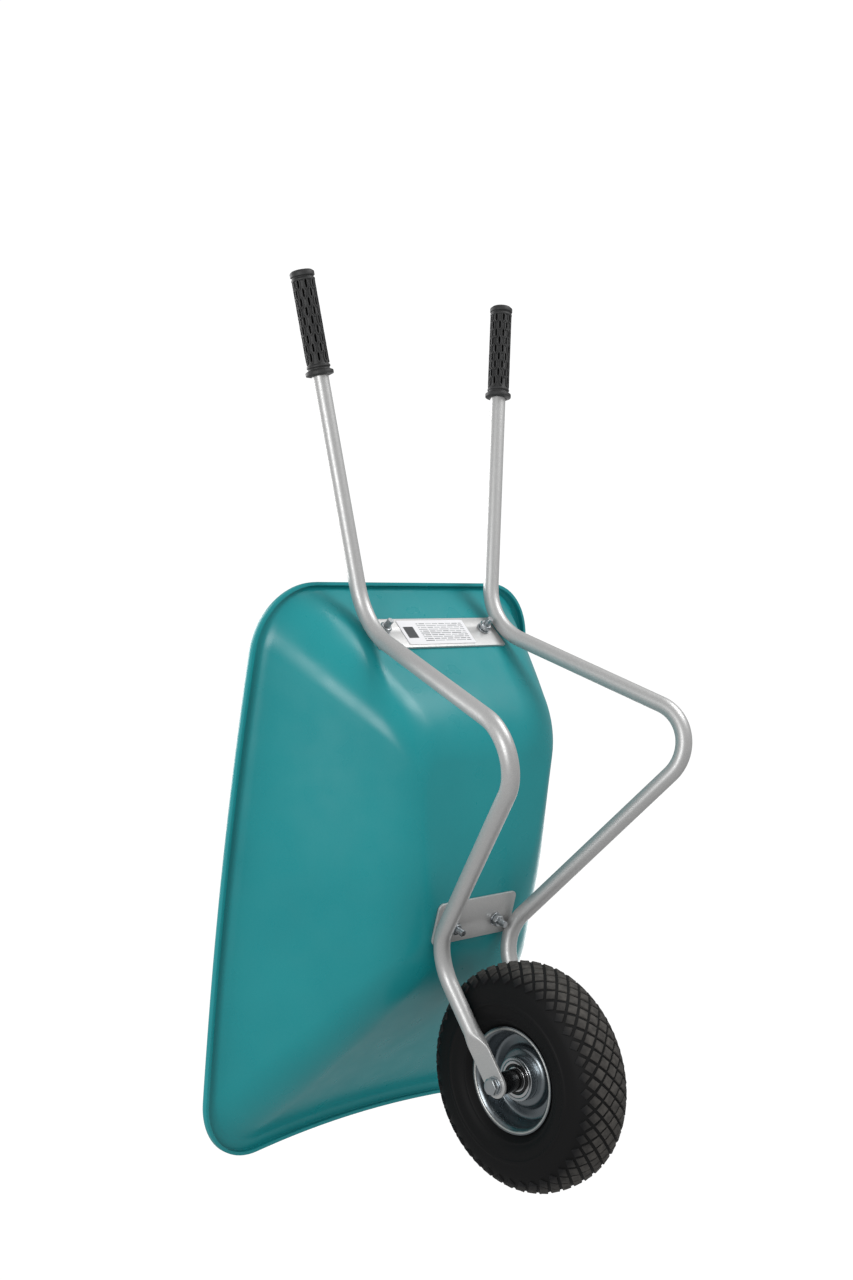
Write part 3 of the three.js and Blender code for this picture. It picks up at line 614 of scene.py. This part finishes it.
def make_grip():
    """A sleeve with a collar at each end and rows of raised leaves, round +Z with its tip up."""
    tip = 4 + GAP
    inside = tip - GRIP_LENGTH
    bore = TUBE_RADIUS + GAP
    body = GRIP_RADIUS - 1.0
    sleeve = turned("sleeve", [
        (0, GAP), (bore, GAP), (bore, inside), (GRIP_RADIUS - 1.5, inside),
        (GRIP_RADIUS + 2.9, inside + 1.5),
        (GRIP_RADIUS + 2.9, inside + 5.5), (body + 0.2, inside + 7.5), (body + 0.2, inside + 9),
        (GRIP_RADIUS + 0.4, inside + 10), (GRIP_RADIUS + 0.4, inside + 12), (body, inside + 13),
        (body, tip - 13), (GRIP_RADIUS + 0.4, tip - 12), (GRIP_RADIUS + 0.4, tip - 10), (body, tip - 9),
        (body, tip - 8), (GRIP_RADIUS + 0.8, tip - 7), (GRIP_RADIUS + 0.8, tip - 2.5),
        (GRIP_RADIUS - 2, tip - 0.2),
        (GRIP_RADIUS - 3, tip - 0.2), (GRIP_RADIUS - 4, tip - 0.8), (0, tip - 0.8),
    ], round_by=0.5)
    leaf = grip_leaf()
    pieces = [sleeve]
    rows, around = 9, 9
    spacing = (GRIP_LENGTH - 2 * 13 - 12) / (rows - 1)
    for row in range(rows):
        for k in range(around):
            turn = 2 * math.pi * (k + 0.5 * (row % 2)) / around
            height = inside + 13 + 8 + row * spacing
            twin = copy_of(leaf, Matrix.Identity(4))
            for vertex in twin.data.vertices:
                angle = turn + vertex.co.x / (body * MM)
                radius = (body - 0.4) * MM + vertex.co.z
                vertex.co = (radius * math.cos(angle), radius * math.sin(angle),
                             height * MM + vertex.co.y * 0.72)
            pieces.append(twin)
    bpy.data.objects.remove(leaf)
    grip = joined("grip", pieces)
    with editing(grip):
        pick("FACE")
        bpy.ops.mesh.normals_make_consistent(inside=False)
    return grip


def handle_matrix(side):
    """Frame of a grip: +Z points out along the handle."""
    end, inner = (Vector((p.x, side * p.y, p.z)) * MM for p in (TUBE_CORNERS[0][0], TUBE_CORNERS[1][0]))
    turn = (end - inner).to_track_quat("Z", "Y").to_matrix().to_4x4()
    return Matrix.Translation(end) @ turn


grip_master = make_grip()
for label, side in (("left", 1), ("right", -1)):
    grip = copy_of(grip_master, handle_matrix(side), label + "_handle_grip")
    finished(grip, GRIP_PVC, "grip_pvc", label + "_grip")
bpy.data.objects.remove(grip_master)


# ---------------------------------------------------------------- cross plates, label, tray bolts
def mounting_frame(node, mount):
    """Frame at the middle of a cross plate: +X up the slope, +Z into the tray."""
    found = next(m for m in RECORD["mounts"] if m["name"] == mount)
    up = Vector(found["axis"]).normalized()
    run = Vector((0, 1, 0)).cross(up)
    low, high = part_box(node)
    turn = Matrix((run, Vector((0, 1, 0)), up)).transposed().to_4x4()
    return Matrix.Translation((Vector(low) + Vector(high)) / 2) @ turn


FLOOR_FRAME = mounting_frame("front_plate", "tray_floor")
REAR_FRAME = mounting_frame("rear_plate", "tray_rear_wall")
HALF_PLATE = PLATE_THICKNESS / 2


def bolt_spot(size, side):
    """Place of one tray bolt in the frame of its plate."""
    return Matrix.Translation(Vector((size["bolt_along"], side * size["bolt_y"], 0)) * MM)


def make_plate(name, size):
    """A sheared and drilled strip with rounded corners and slightly rounded edges."""
    bpy.ops.object.select_all(action="DESELECT")
    bpy.ops.mesh.primitive_cube_add(size=1)
    plate = named(name)
    plate.scale = (size["length"] * MM, 2 * size["half_width"] * MM, PLATE_THICKNESS * MM)
    bpy.ops.object.transform_apply(location=True, rotation=True, scale=True)
    with editing(plate):
        pick("EDGE", lambda e: abs(e.verts[0].co.z - e.verts[1].co.z) > MM)
        bpy.ops.mesh.bevel(offset=size["corner"] * MM, segments=8, affect="EDGES")
    for side in (1, -1):
        carve(plate, placed(drill(BOLT_RADIUS + GAP, -9, 9), bolt_spot(size, side)))
    eased(plate, 0.5, 3, 50)
    return plate


PLATES = (("front", FRONT_PLATE, FLOOR_FRAME), ("rear", REAR_PLATE, REAR_FRAME))
for row, size, place in PLATES:
    strip = placed(make_plate(row + "_plate_strip", size), place)
    finished(strip, FRAME_PAINT, "frame_paint", row + "_plate", angle=30)


def make_label():
    """A thin film with rounded corners."""
    bpy.ops.object.select_all(action="DESELECT")
    bpy.ops.mesh.primitive_plane_add(size=1)
    label = named("rating_film")
    label.scale = (38 * MM, 110 * MM, 1)
    bpy.ops.object.transform_apply(location=True, rotation=True, scale=True)
    with editing(label):
        pick("VERT")
        bpy.ops.mesh.bevel(offset=2 * MM, segments=5, affect="VERTICES")
        pick("FACE")
        bpy.ops.mesh.extrude_region_move(TRANSFORM_OT_translate={"value": (0, 0, 0.4 * MM)})
        pick("FACE")
        bpy.ops.mesh.normals_make_consistent(inside=False)
    return label


label_frame = REAR_FRAME @ Matrix.Translation((0, 0, (-HALF_PLATE - GAP - 0.4) * MM))
LABEL_FILM = print_label(label_frame.translation, math.asin(REAR_FRAME.col[2][0]))
finished(placed(make_label(), label_frame), LABEL_FILM, "label_film", "rating_label")


def make_tray_bolt():
    """Round-headed bolt: a domed head over a flange and a threaded shank, head up."""
    head = BOLT_RADIUS * 2.4
    crown = soft_line([(0, 4.6), (head * 0.5, 4.1), (head * 0.85, 2.6), (head, 0.9)], 4)
    shank = thread(BOLT_RADIUS, -26, -8, 1.25)
    return turned("bolt", crown + [(head, 0), (BOLT_RADIUS, 0)] + shank[::-1], steps=40)


def make_washer(radius, thickness, hole):
    """A flat ring with rounded edges, its lower face at z = 0."""
    return turned("washer", [(hole, 0), (radius, 0), (radius, thickness), (hole, thickness)],
                  round_by=0.25, steps=40)


bolt_master = make_tray_bolt()
washer_master = make_washer(BOLT_RADIUS * 2.1, 1.6, BOLT_RADIUS + GAP)
nut_master = hexagon("nut", BOLT_RADIUS * 3.25, 0, 6.5, BOLT_RADIUS + GAP / 2)
for row, size, place in PLATES:
    for label, side in (("left", 1), ("right", -1)):
        spot = place @ bolt_spot(size, side)
        tag = f"{row}_{label}"
        heights = {
            "bolt": (bolt_master, HALF_PLATE + GAP + SHEET + GAP),
            "washer": (washer_master, -HALF_PLATE - GAP - 1.6),
            "nut": (nut_master, -HALF_PLATE - 2 * GAP - 1.6 - 6.5),
        }
        for kind, (master, height) in heights.items():
            piece = copy_of(master, spot @ Matrix.Translation((0, 0, height * MM)), f"{kind}_{tag}")
            finished(piece, ZINC, "zinc_steel", f"tray_{kind}_{tag}", angle=30)
for master in (bolt_master, washer_master, nut_master):
    bpy.data.objects.remove(master)


# ---------------------------------------------------------------- tray
RIM_FRONT = {"x": AXLE_X + 119, "z": 420, "half_width": 255, "radius": 80}
RIM_REAR = {"x": AXLE_X - 570, "z": 321, "half_width": 223, "radius": 82}
SIDE_RISE, NOSE_RISE, NOSE_BOW = 16, 14, 16
FLOOR = {"front_x": AXLE_X - 98, "front_y": 108, "front_radius": 45, "rear_y": 121, "rear_radius": 34,
         "knee_x": AXLE_X - 226, "heel_tilt": math.radians(7)}
FLOOR_FILLET, FLOOR_REACH, WALL_BULGE, FLANGE_DROP = 62, 44, 7, 1.5
OUTSIDE = GAP + SHEET / 2 + HALF_PLATE      # from the middle of a cross plate to the middle of the sheet


def arc(corner, radius, before, after, steps):
    """Points round a rounded corner of a flat outline."""
    back = (before - corner).normalized()
    ahead = (after - corner).normalized()
    half = back.angle(ahead) / 2
    centre = corner + (back + ahead).normalized() * (radius / math.sin(half))
    arm = corner + back * (radius / math.tan(half)) - centre
    sweep = math.pi - 2 * half
    return [centre + Matrix.Rotation(sweep * k / steps, 3, "Z") @ arm for k in range(steps + 1)]


def outline(front, front_y, front_radius, rear, rear_y, rear_radius):
    """Rounded four-sided figure from the middle of the nose round the left; always as many points."""
    nose, heel = Vector((front, 0, 0)), Vector((rear, 0, 0))
    front_corner, rear_corner = Vector((front, front_y, 0)), Vector((rear, rear_y, 0))
    front_arc = arc(front_corner, front_radius, nose, rear_corner, 20)
    rear_arc = arc(rear_corner, rear_radius, front_corner, heel, 20)
    half = [nose.lerp(front_arc[0], k / 12) for k in range(12)] + front_arc
    half += [front_arc[-1].lerp(rear_arc[0], k / 28) for k in range(1, 28)] + rear_arc
    half += [rear_arc[-1].lerp(heel, k / 12) for k in range(1, 13)]
    return half + [Vector((p.x, -p.y, 0)) for p in half[-2:0:-1]]


def rim_height(x, y):
    """Height of the rim, and how far the nose's arch has set in (0 to 1)."""
    t = (x - RIM_REAR["x"]) / (RIM_FRONT["x"] - RIM_REAR["x"])
    s = min(1, max(0, (t - 0.75) / 0.25))
    nose = s * s * (3 - 2 * s) * (1 - (y / RIM_FRONT["half_width"]) ** 2)
    rise = 4 * SIDE_RISE * t * (1 - t) + NOSE_RISE * nose
    return RIM_REAR["z"] - 0.15 + (RIM_FRONT["z"] - RIM_REAR["z"]) * t + rise, nose


def rim_outline(inset, rear_inset):
    """The rim's outline drawn in by an inset, at the rim's height and with its bowed nose."""
    line = outline(
        RIM_FRONT["x"] - inset, RIM_FRONT["half_width"] - inset, RIM_FRONT["radius"] - inset * 0.6,
        RIM_REAR["x"] + rear_inset, RIM_REAR["half_width"] - inset, RIM_REAR["radius"] - inset * 0.6)
    placed_line = []
    for p in line:
        height, nose = rim_height(p.x, p.y)
        placed_line.append(Vector((p.x - NOSE_BOW * nose, p.y, height)))
    return placed_line


def plane_height(place, x):
    """Height over x of the middle of the tray's sheet where it lies on a cross plate."""
    up = place.col[2].to_3d()
    level = up.dot(place.translation) / MM + OUTSIDE
    return (level - up.x * x) / up.z


def floor_height(x):
    """The floor slopes less behind the knee; the two slopes blend over 50 mm."""
    knee = FLOOR["knee_x"]
    slope = math.tan(FLOOR["heel_tilt"])
    steep = plane_height(FLOOR_FRAME, knee + 1) - plane_height(FLOOR_FRAME, knee)
    heel = plane_height(FLOOR_FRAME, knee) + (x - knee) * slope
    reach = 25
    s = min(max((x - knee + reach) / (2 * reach), 0), 1)
    blend = reach * s * s if x < knee + reach else x - knee
    return heel + (steep - slope) * blend


def on_floor(p):
    """The place on the floor over or under a point."""
    return Vector((p.x, p.y, floor_height(p.x)))


def curve(a, b, c, t):
    """A point of the rounded corner that runs from a to c past b."""
    return a * (1 - t) ** 2 + b * (2 * t * (1 - t)) + c * t * t


def tray_lines():
    """For each point of the outline, the line that runs from the floor up the wall and over the rim."""
    slope = math.tan(FLOOR["heel_tilt"])
    up = REAR_FRAME.col[2].to_3d()
    heel_at_zero = floor_height(0)
    crease_x = (plane_height(REAR_FRAME, 0) - heel_at_zero) / (slope + up.x / up.z)
    base_line = [on_floor(p) for p in outline(FLOOR["front_x"], FLOOR["front_y"], FLOOR["front_radius"],
                                              crease_x, FLOOR["rear_y"], FLOOR["rear_radius"])]
    bolt = FLOOR_FRAME @ (Vector((FRONT_PLATE["bolt_along"], 0, OUTSIDE)) * MM)
    centre = on_floor(Vector((bolt.x / MM, 0, 0)))
    rear_top = RIM_REAR["x"]
    level = up.dot(REAR_FRAME.translation) / MM + OUTSIDE
    for _ in range(8):
        rear_top = (level - (rim_height(rear_top, 0)[0] - FLANGE_DROP) * up.z) / up.x
    top = rim_outline(RIM_FLANGE, rear_top - RIM_REAR["x"])
    edge = rim_outline(SHEET / 2 + 0.1, SHEET / 2 + 0.1)
    lines = []
    for base, flange_top, rim in zip(base_line, top, edge):
        flange_top.z -= FLANGE_DROP
        wall = flange_top - base
        reach = on_floor(base + (centre - base).normalized() * FLOOR_REACH)
        wall_start = base + wall.normalized() * FLOOR_FILLET
        wall_end = flange_top - wall.normalized() * 13
        out = (rim - flange_top).normalized()
        outward = Vector((wall.x, wall.y, 0)).normalized()
        outward = (outward * 0.7 + Vector((0, 0, -0.7))) * abs(outward.y) ** 2
        line = [on_floor(centre.lerp(reach, s)) for s in (0.12, 0.25, 0.45, 0.6, 0.75, 0.88)]
        line += [curve(reach, base, wall_start, k / 14) for k in range(15)]
        for k in range(1, 12):
            t = k / 12
            line.append(wall_start.lerp(wall_end, t) + outward * (WALL_BULGE * 4 * t * (1 - t)))
        line += [curve(wall_end, flange_top, flange_top + out * 5, k / 6) for k in range(7)]
        line += [(flange_top + out * 5).lerp(rim - out * 4.5, 0.5)]
        line += [curve(rim - out * 4.5, rim, rim - Vector((0, 0, 4.5)), k / 7) for k in range(8)]
        line.append(rim - Vector((0, 0, RIM_DROP)))
        lines.append(line)
    return centre, lines


def make_tray():
    """A ring over the floor, extruded outward line by line, closed in the middle, and given its wall."""
    centre, lines = tray_lines()
    count = len(lines[0])
    tray = start_ring("tray_shell", [line[0] * MM for line in lines])
    for step in range(1, count):
        next_ring([line[step] * MM for line in lines])
    first = {tuple(round(c, 6) for c in line[0] * MM) for line in lines}
    pick("VERT", lambda v: tuple(round(c, 6) for c in v.co) in first)
    bpy.ops.mesh.select_mode(type="EDGE")
    bpy.ops.mesh.extrude_region_move()
    bpy.ops.mesh.merge(type="CENTER")
    pick("VERT")
    bpy.ops.mesh.normals_make_consistent(inside=False)
    bpy.ops.object.mode_set(mode="OBJECT")
    modified(tray, "SOLIDIFY", thickness=SHEET * MM, offset=0)
    eased(tray, 0.9, 2, 60)
    with editing(tray):
        pick("VERT")
        bpy.ops.mesh.normals_make_consistent(inside=False)
    for _, size, place in PLATES:
        for side in (1, -1):
            carve(tray, placed(drill(BOLT_RADIUS + GAP, -4, 12, steps=24), place @ bolt_spot(size, side)))
    return tray


finished(make_tray(), TRAY_HDPE, "tray_hdpe", "tray", angle=50)


# ---------------------------------------------------------------- wheel
AXLE_FRAME = Matrix.Translation(AXLE) @ Matrix.Rotation(-math.pi / 2, 4, "X")   # +Z runs to the left


def tread_block(around, across):
    """One diamond block of the tread, its top at z = 0, sunk into the tyre below."""
    depth = TREAD_DEPTH + 1.6
    bpy.ops.object.select_all(action="DESELECT")
    bpy.ops.mesh.primitive_cylinder_add(
        vertices=4, radius=MM, depth=depth * MM, location=(0, 0, -depth / 2 * MM))
    block = named("block")
    block.scale = (around / 2, across / 2, 1)
    bpy.ops.object.transform_apply(location=True, rotation=True, scale=True)
    with editing(block):
        pick("FACE", lambda f: f.normal.z > 0.9)
        bpy.ops.transform.resize(value=(0.9, 0.9, 1))
        pick("EDGE", lambda e: any(v.co.z > -MM for v in e.verts))
        bpy.ops.mesh.bevel(offset=0.45 * MM, segments=2, affect="EDGES", clamp_overlap=True)
    return block


def make_tyre():
    """Carcass with beads and a moulded flank, and staggered rows of tread blocks."""
    w, r = TYRE_HALF_WIDTH, WHEEL_RADIUS
    bead = SEAT_RADIUS + RIM_SHEET / 2 + GAP
    crown = [(r, 0), (r - 0.2, w * 0.15), (r - 2, w * 0.42), (r - 8, w * 0.7), (r - 19, w * 0.92),
             (r - 36, w)]
    outside = soft_line([
        (r - TREAD_DEPTH - 0.3, 0), (r - TREAD_DEPTH - 0.8, w * 0.2), (r - TREAD_DEPTH - 2, w * 0.42),
        (r - TREAD_DEPTH - 7.4, w * 0.68), (r - 20.5, w * 0.875), (r - 30, w * 0.945),
        (r - 38, w * 0.965), (r - 40, w * 0.985), (r - 43, w * 0.99), (r - 45, w * 0.97),
        (r - 54, w * 0.935), (r - 60, w * 0.86),
        (r - 62, w * 0.85), (r - 64.5, w * 0.78), (bead + 7.2, 26), (bead + 4.3, 24.9),
        (bead + 1.2, 22.6), (bead, 19)], 4)
    inside = soft_line([
        (bead, 13), (bead + 5, 16), (r - 66, w * 0.6), (r - 54, w * 0.78), (r - 36, w * 0.84),
        (r - 20, w * 0.72), (r - 11, w * 0.45), (r - 9, 0)], 3)
    half = outside + inside
    section = half + [(radius, -y) for radius, y in half[-2:0:-1]]
    carcass = turned("carcass", section, steps=120)
    rows, around = 9, 42
    spacing = 9.2
    line = soft_line(crown, 12)
    lengths = [0.0]
    for a, b in zip(line, line[1:]):
        lengths.append(lengths[-1] + math.dist(a, b))
    pieces = []
    for row in range(-(rows // 2), rows // 2 + 1):
        reach = abs(row) * spacing
        k = max(i for i, length in enumerate(lengths) if length <= reach)
        k = min(k, len(line) - 2)
        share = (reach - lengths[k]) / (lengths[k + 1] - lengths[k])
        radius = line[k][0] + (line[k + 1][0] - line[k][0]) * share - 0.85
        height = math.copysign(line[k][1] + (line[k + 1][1] - line[k][1]) * share, row)
        lean = math.atan2(line[k][0] - line[k + 1][0], line[k + 1][1] - line[k][1])
        pitch = 2 * math.pi * radius / around
        block = tread_block(pitch - 3.8, 2 * spacing - 3.8)
        # Block's own axes: X round the wheel, Y across the tread, Z out of the tread.
        upright = Matrix(((0, 0, 1, 0), (1, 0, 0, 0), (0, 1, 0, 0), (0, 0, 0, 1)))
        for step in range(around):
            turn = 2 * math.pi * (step + 0.5 * (row % 2)) / around
            matrix = (Matrix.Rotation(turn, 4, "Z") @ Matrix.Translation(Vector((radius, 0, height)) * MM)
                      @ Matrix.Rotation(-math.copysign(lean, row) if row else 0, 4, "Y") @ upright)
            pieces.append(copy_of(block, matrix))
        bpy.data.objects.remove(block)
    return carcass, joined("tread_blocks", pieces)


for piece, material in zip(make_tyre(), (TYRE_RUBBER, TREAD_RUBBER)):
    finished(placed(piece, AXLE_FRAME), material, "tyre_rubber", "tyre", angle=40)


def make_rim_half():
    """Pressed half of the rim and its rolled edge: bead seat, well, flat web, stepped cup for the hub."""
    seat = SEAT_RADIUS
    line = soft_line([
        (RIM_FLANGE_RADIUS - 0.2, 27.4), (RIM_FLANGE_RADIUS - 2.4, 27.5), (seat + 4.2, 26.6),
        (seat + 1.4, 24),
        (seat, 20), (seat - 1, 10), (seat - 3, 3.5), (seat - 6.5, RIM_SHEET / 2 + GAP / 2),
        (39, RIM_SHEET / 2 + GAP / 2), (35.8, 2.4), (34, 7.2), (31.4, 9.6), (28, 10),
        (HUB_RADIUS + GAP, 10)], 5)
    pressing = turned("pressing", sheet_section(line, RIM_SHEET), steps=120)
    turns = [k * math.pi / 6 for k in range(12)]
    roll = [(RIM_FLANGE_RADIUS - 2.4 + 1.9 * math.cos(t), 26.9 + 1.9 * math.sin(t)) for t in turns]
    return pressing, turned("roll", roll, steps=120)


rim_master, roll_master = make_rim_half()
FLIP = Matrix.Scale(-1, 4, (0, 0, 1))
for label, side in (("left", Matrix.Identity(4)), ("right", FLIP)):
    rim = copy_of(rim_master, side, f"rim_half_{label}")
    if label == "right":
        through_seat = (Matrix.Translation(Vector((0, -SEAT_RADIUS, -VALVE_ASIDE)) * MM)
                        @ Matrix.Rotation(math.pi / 2, 4, "X"))
        carve(rim, placed(drill(VALVE_RADIUS + GAP, -10, 10, steps=24), through_seat))
    finished(placed(rim, AXLE_FRAME), RIM_STEEL, "zinc_steel", f"rim_{label}", angle=40)
    # The rolled edge wears the lighter zinc, a painted highlight.
    roll = copy_of(roll_master, side, f"rim_rolled_edge_{label}")
    finished(placed(roll, AXLE_FRAME), ROLLED_EDGE_HIGHLIGHT, "zinc_steel", f"rim_{label}", angle=40)
for master in (rim_master, roll_master):
    bpy.data.objects.remove(master)

pocket = HUB_HALF_LENGTH - BEARING_WIDTH - GAP
bore = BEARING_RADIUS + GAP
hub = turned("hub_barrel", [
    (bore, HUB_HALF_LENGTH), (HUB_RADIUS, HUB_HALF_LENGTH), (HUB_RADIUS, -HUB_HALF_LENGTH),
    (bore, -HUB_HALF_LENGTH), (bore, -pocket), (18, -pocket), (18, pocket), (bore, pocket)],
    round_by=0.8, steps=96)
finished(placed(hub, AXLE_FRAME), ZINC, "zinc_steel", "hub")

FORK_INSIDE = FORK_Y - FORK_THICKNESS / 2
FORK_OUTSIDE = FORK_Y + FORK_THICKNESS / 2
high = HUB_HALF_LENGTH
low = HUB_HALF_LENGTH - BEARING_WIDTH
bolt_hole = AXLE_BOLT_RADIUS + GAP
AXLE_SECTIONS = {
    "bearing_outer": ([(17.5, low), (BEARING_RADIUS, low), (BEARING_RADIUS, high), (17.5, high)],
                      0.5, BEARING_STEEL, "bearing_steel"),
    "bearing_inner": ([(10, low), (14, low), (14, high), (10, high)],
                      0.5, BEARING_STEEL, "bearing_steel"),
    "bearing_seal": ([(14 + GAP, high - 1.8), (17.5 - GAP, high - 1.8), (17.5 - GAP, high - 0.8),
                      (16.6, high - 0.6), (15.8, high - 1.0), (15.0, high - 0.6), (14 + GAP, high - 0.8)],
                     0.15, BUSH_NYLON, "bush_nylon"),
    "spacer_bush": ([(bolt_hole, low + 1), (9.7, low + 1), (9.7, high + GAP), (12.4, high + GAP),
                     (12.4, FORK_INSIDE - GAP), (bolt_hole, FORK_INSIDE - GAP)],
                    0.5, BUSH_NYLON, "bush_nylon"),
    "axle_washer": ([(bolt_hole, FORK_OUTSIDE + GAP), (10.5, FORK_OUTSIDE + GAP),
                     (10.5, FORK_OUTSIDE + 2.3), (bolt_hole, FORK_OUTSIDE + 2.3)],
                    0.35, ZINC, "zinc_steel"),
}
for kind, (section, round_by, material, slot) in AXLE_SECTIONS.items():
    master = turned(kind, section, round_by=round_by, steps=64)
    for label, side in (("left", Matrix.Identity(4)), ("right", FLIP)):
        piece = copy_of(master, side, f"{kind}_ring_{label}")
        finished(placed(piece, AXLE_FRAME), material, slot, f"{kind}_{label}")
    bpy.data.objects.remove(master)

washer_face = FORK_OUTSIDE + 2.3 + GAP
flats = AXLE_BOLT_RADIUS * 3.4
bolt_end = -(washer_face + 13)
plain = [(AXLE_BOLT_RADIUS, -washer_face + 7), (AXLE_BOLT_RADIUS, washer_face + 3), (0, washer_face + 3)]
shank = turned("shank", thread(AXLE_BOLT_RADIUS, bolt_end, -washer_face + 6, 1.5) + plain, steps=40)
head = hexagon("head", flats, washer_face, washer_face + 6.6)
axle_bolt = joined("axle_bolt_hex", [head, shank])
finished(placed(axle_bolt, AXLE_FRAME), ZINC, "zinc_steel", "axle_bolt", angle=30)
axle_nut = hexagon("axle_nut_hex", flats, -washer_face - 8.4, -washer_face, AXLE_BOLT_RADIUS + GAP / 2)
finished(placed(axle_nut, AXLE_FRAME), ZINC, "zinc_steel", "axle_nut", angle=30)

# Valve: a brass stem through the rim's well, with a black cap.
valve_place = (Matrix.Translation(AXLE + Vector((0, -VALVE_ASIDE, SEAT_RADIUS + 4)) * MM)
               @ Matrix.Rotation(math.pi, 4, "X"))
stem = turned("valve_tube", [
    (0, 0), (VALVE_RADIUS, 0), (VALVE_RADIUS, 9.4), (2.6, 10), (2.6, 14), (0, 14)], round_by=0.3, steps=32)
finished(placed(stem, valve_place), VALVE_BRASS, "valve_brass", "valve_stem")
cap = turned("valve_dust_cap", [
    (0, 14.3), (2.9, 14.3), (2.9, 10.3), (4.2, 10.3), (4.2, 15), (3.2, 16), (0, 16)],
    round_by=0.3, steps=32)
finished(placed(cap, valve_place), BUSH_NYLON, "bush_nylon", "valve_cap")

for node, material in (("inner_tube", TUBE_RUBBER), ("bearing_sleeve", ZINC)):
    frame["nodes"][node].data.materials.clear()
    frame["nodes"][node].data.materials.append(material)


# ---------------------------------------------------------------- floor, light and camera
def make_floor():
    """Pale floor, seen from above only, so that the barrow can be looked at from below."""
    bpy.ops.object.select_all(action="DESELECT")
    bpy.ops.mesh.primitive_plane_add(size=12)
    floor = named("floor")
    material, tree, shader, coords = new_material(
        "studio_paper_white", Base_Color=srgb("#f2f2f2"), Roughness=0.9)
    side = add_node(tree, "NewGeometry")
    distance = add_node(tree, "VectorMath", {"operation": "LENGTH"}, {0: coords})
    fade = add_node(tree, "MapRange", {"interpolation_type": "SMOOTHSTEP"}, {
        "Value": distance.outputs["Value"], "From Min": 0.6, "From Max": 2.4})
    gone = add_node(tree, "Math", {"operation": "MAXIMUM"}, {
        0: side.outputs["Backfacing"], 1: fade.outputs["Result"]})
    clear = add_node(tree, "BsdfTransparent")
    mix = add_node(tree, "MixShader", inputs={
        0: gone.outputs["Value"], 1: shader.outputs["BSDF"], 2: clear.outputs["BSDF"]})
    tree.links.new(mix.outputs["Shader"], tree.nodes["Material Output"].inputs["Surface"])
    floor.data.materials.append(material)
    floor.visible_shadow = False
    floor.visible_glossy = False
    floor.visible_diffuse = False


make_floor()

MIDDLE = (CAD_BOX[0] + CAD_BOX[1]) / 2
VIEW_RIGHT = Vector((0.0226, -0.7250, -0.6882)).normalized()
VIEW_FORWARD = Vector((0.0036, -0.6884, 0.7253)).normalized()
VIEW_UP = VIEW_RIGHT.cross(VIEW_FORWARD).normalized()


def make_camera():
    """The viewing camera, below and to the left of the barrow, looking up at its underside."""
    camera = bpy.data.objects.new("camera", bpy.data.cameras.new("camera"))
    camera.data.lens = 43.88
    camera.data.sensor_width = 36
    turn = Matrix((VIEW_RIGHT, VIEW_UP, -VIEW_FORWARD)).transposed().to_4x4()
    camera.matrix_world = Matrix.Translation((-0.1066, 1.3008, -1.0886)) @ turn
    bpy.context.collection.objects.link(camera)
    bpy.context.scene.camera = camera


def add_light(name, place, size, power):
    """A square softbox that looks at the middle of the barrow."""
    light = bpy.data.objects.new(name, bpy.data.lights.new(name, "AREA"))
    light.data.size = size
    light.data.energy = power
    light.location = place
    light.rotation_euler = (MIDDLE - Vector(place)).to_track_quat("-Z", "Y").to_euler()
    light.visible_camera = False
    bpy.context.collection.objects.link(light)


make_camera()
# Softboxes for the underside, placed from the camera's own axes, and two for the upper side.
add_light("key", MIDDLE - VIEW_RIGHT * 0.9 + VIEW_UP * 0.3 - VIEW_FORWARD * 1.85, 0.8, 17)
add_light("side", MIDDLE + VIEW_RIGHT * 1.17 + VIEW_UP * 1.55 - VIEW_FORWARD * 0.1, 0.9, 20)
add_light("above", MIDDLE + Vector((-0.6, 0.5, 2.2)), 1.6, 40)
add_light("behind", MIDDLE + Vector((1.0, -1.8, 1.2)), 1.2, 9)

world = bpy.data.worlds.new("studio")
bpy.context.scene.world = world
world.use_nodes = True
backdrop = world.node_tree.nodes["Background"]
rays = add_node(world.node_tree, "LightPath")
mirror = add_node(world.node_tree, "MapRange", inputs={
    "Value": rays.outputs["Is Glossy Ray"], "To Min": 0.62, "To Max": 0.38})
shade = add_node(world.node_tree, "MapRange", inputs={
    "Value": rays.outputs["Is Camera Ray"], "To Min": mirror.outputs["Result"], "To Max": 1.05})
backdrop.inputs["Color"].default_value = (1, 1, 1, 1)
world.node_tree.links.new(shade.outputs["Result"], backdrop.inputs["Strength"])
bpy.context.scene.view_settings.view_transform = "Standard"
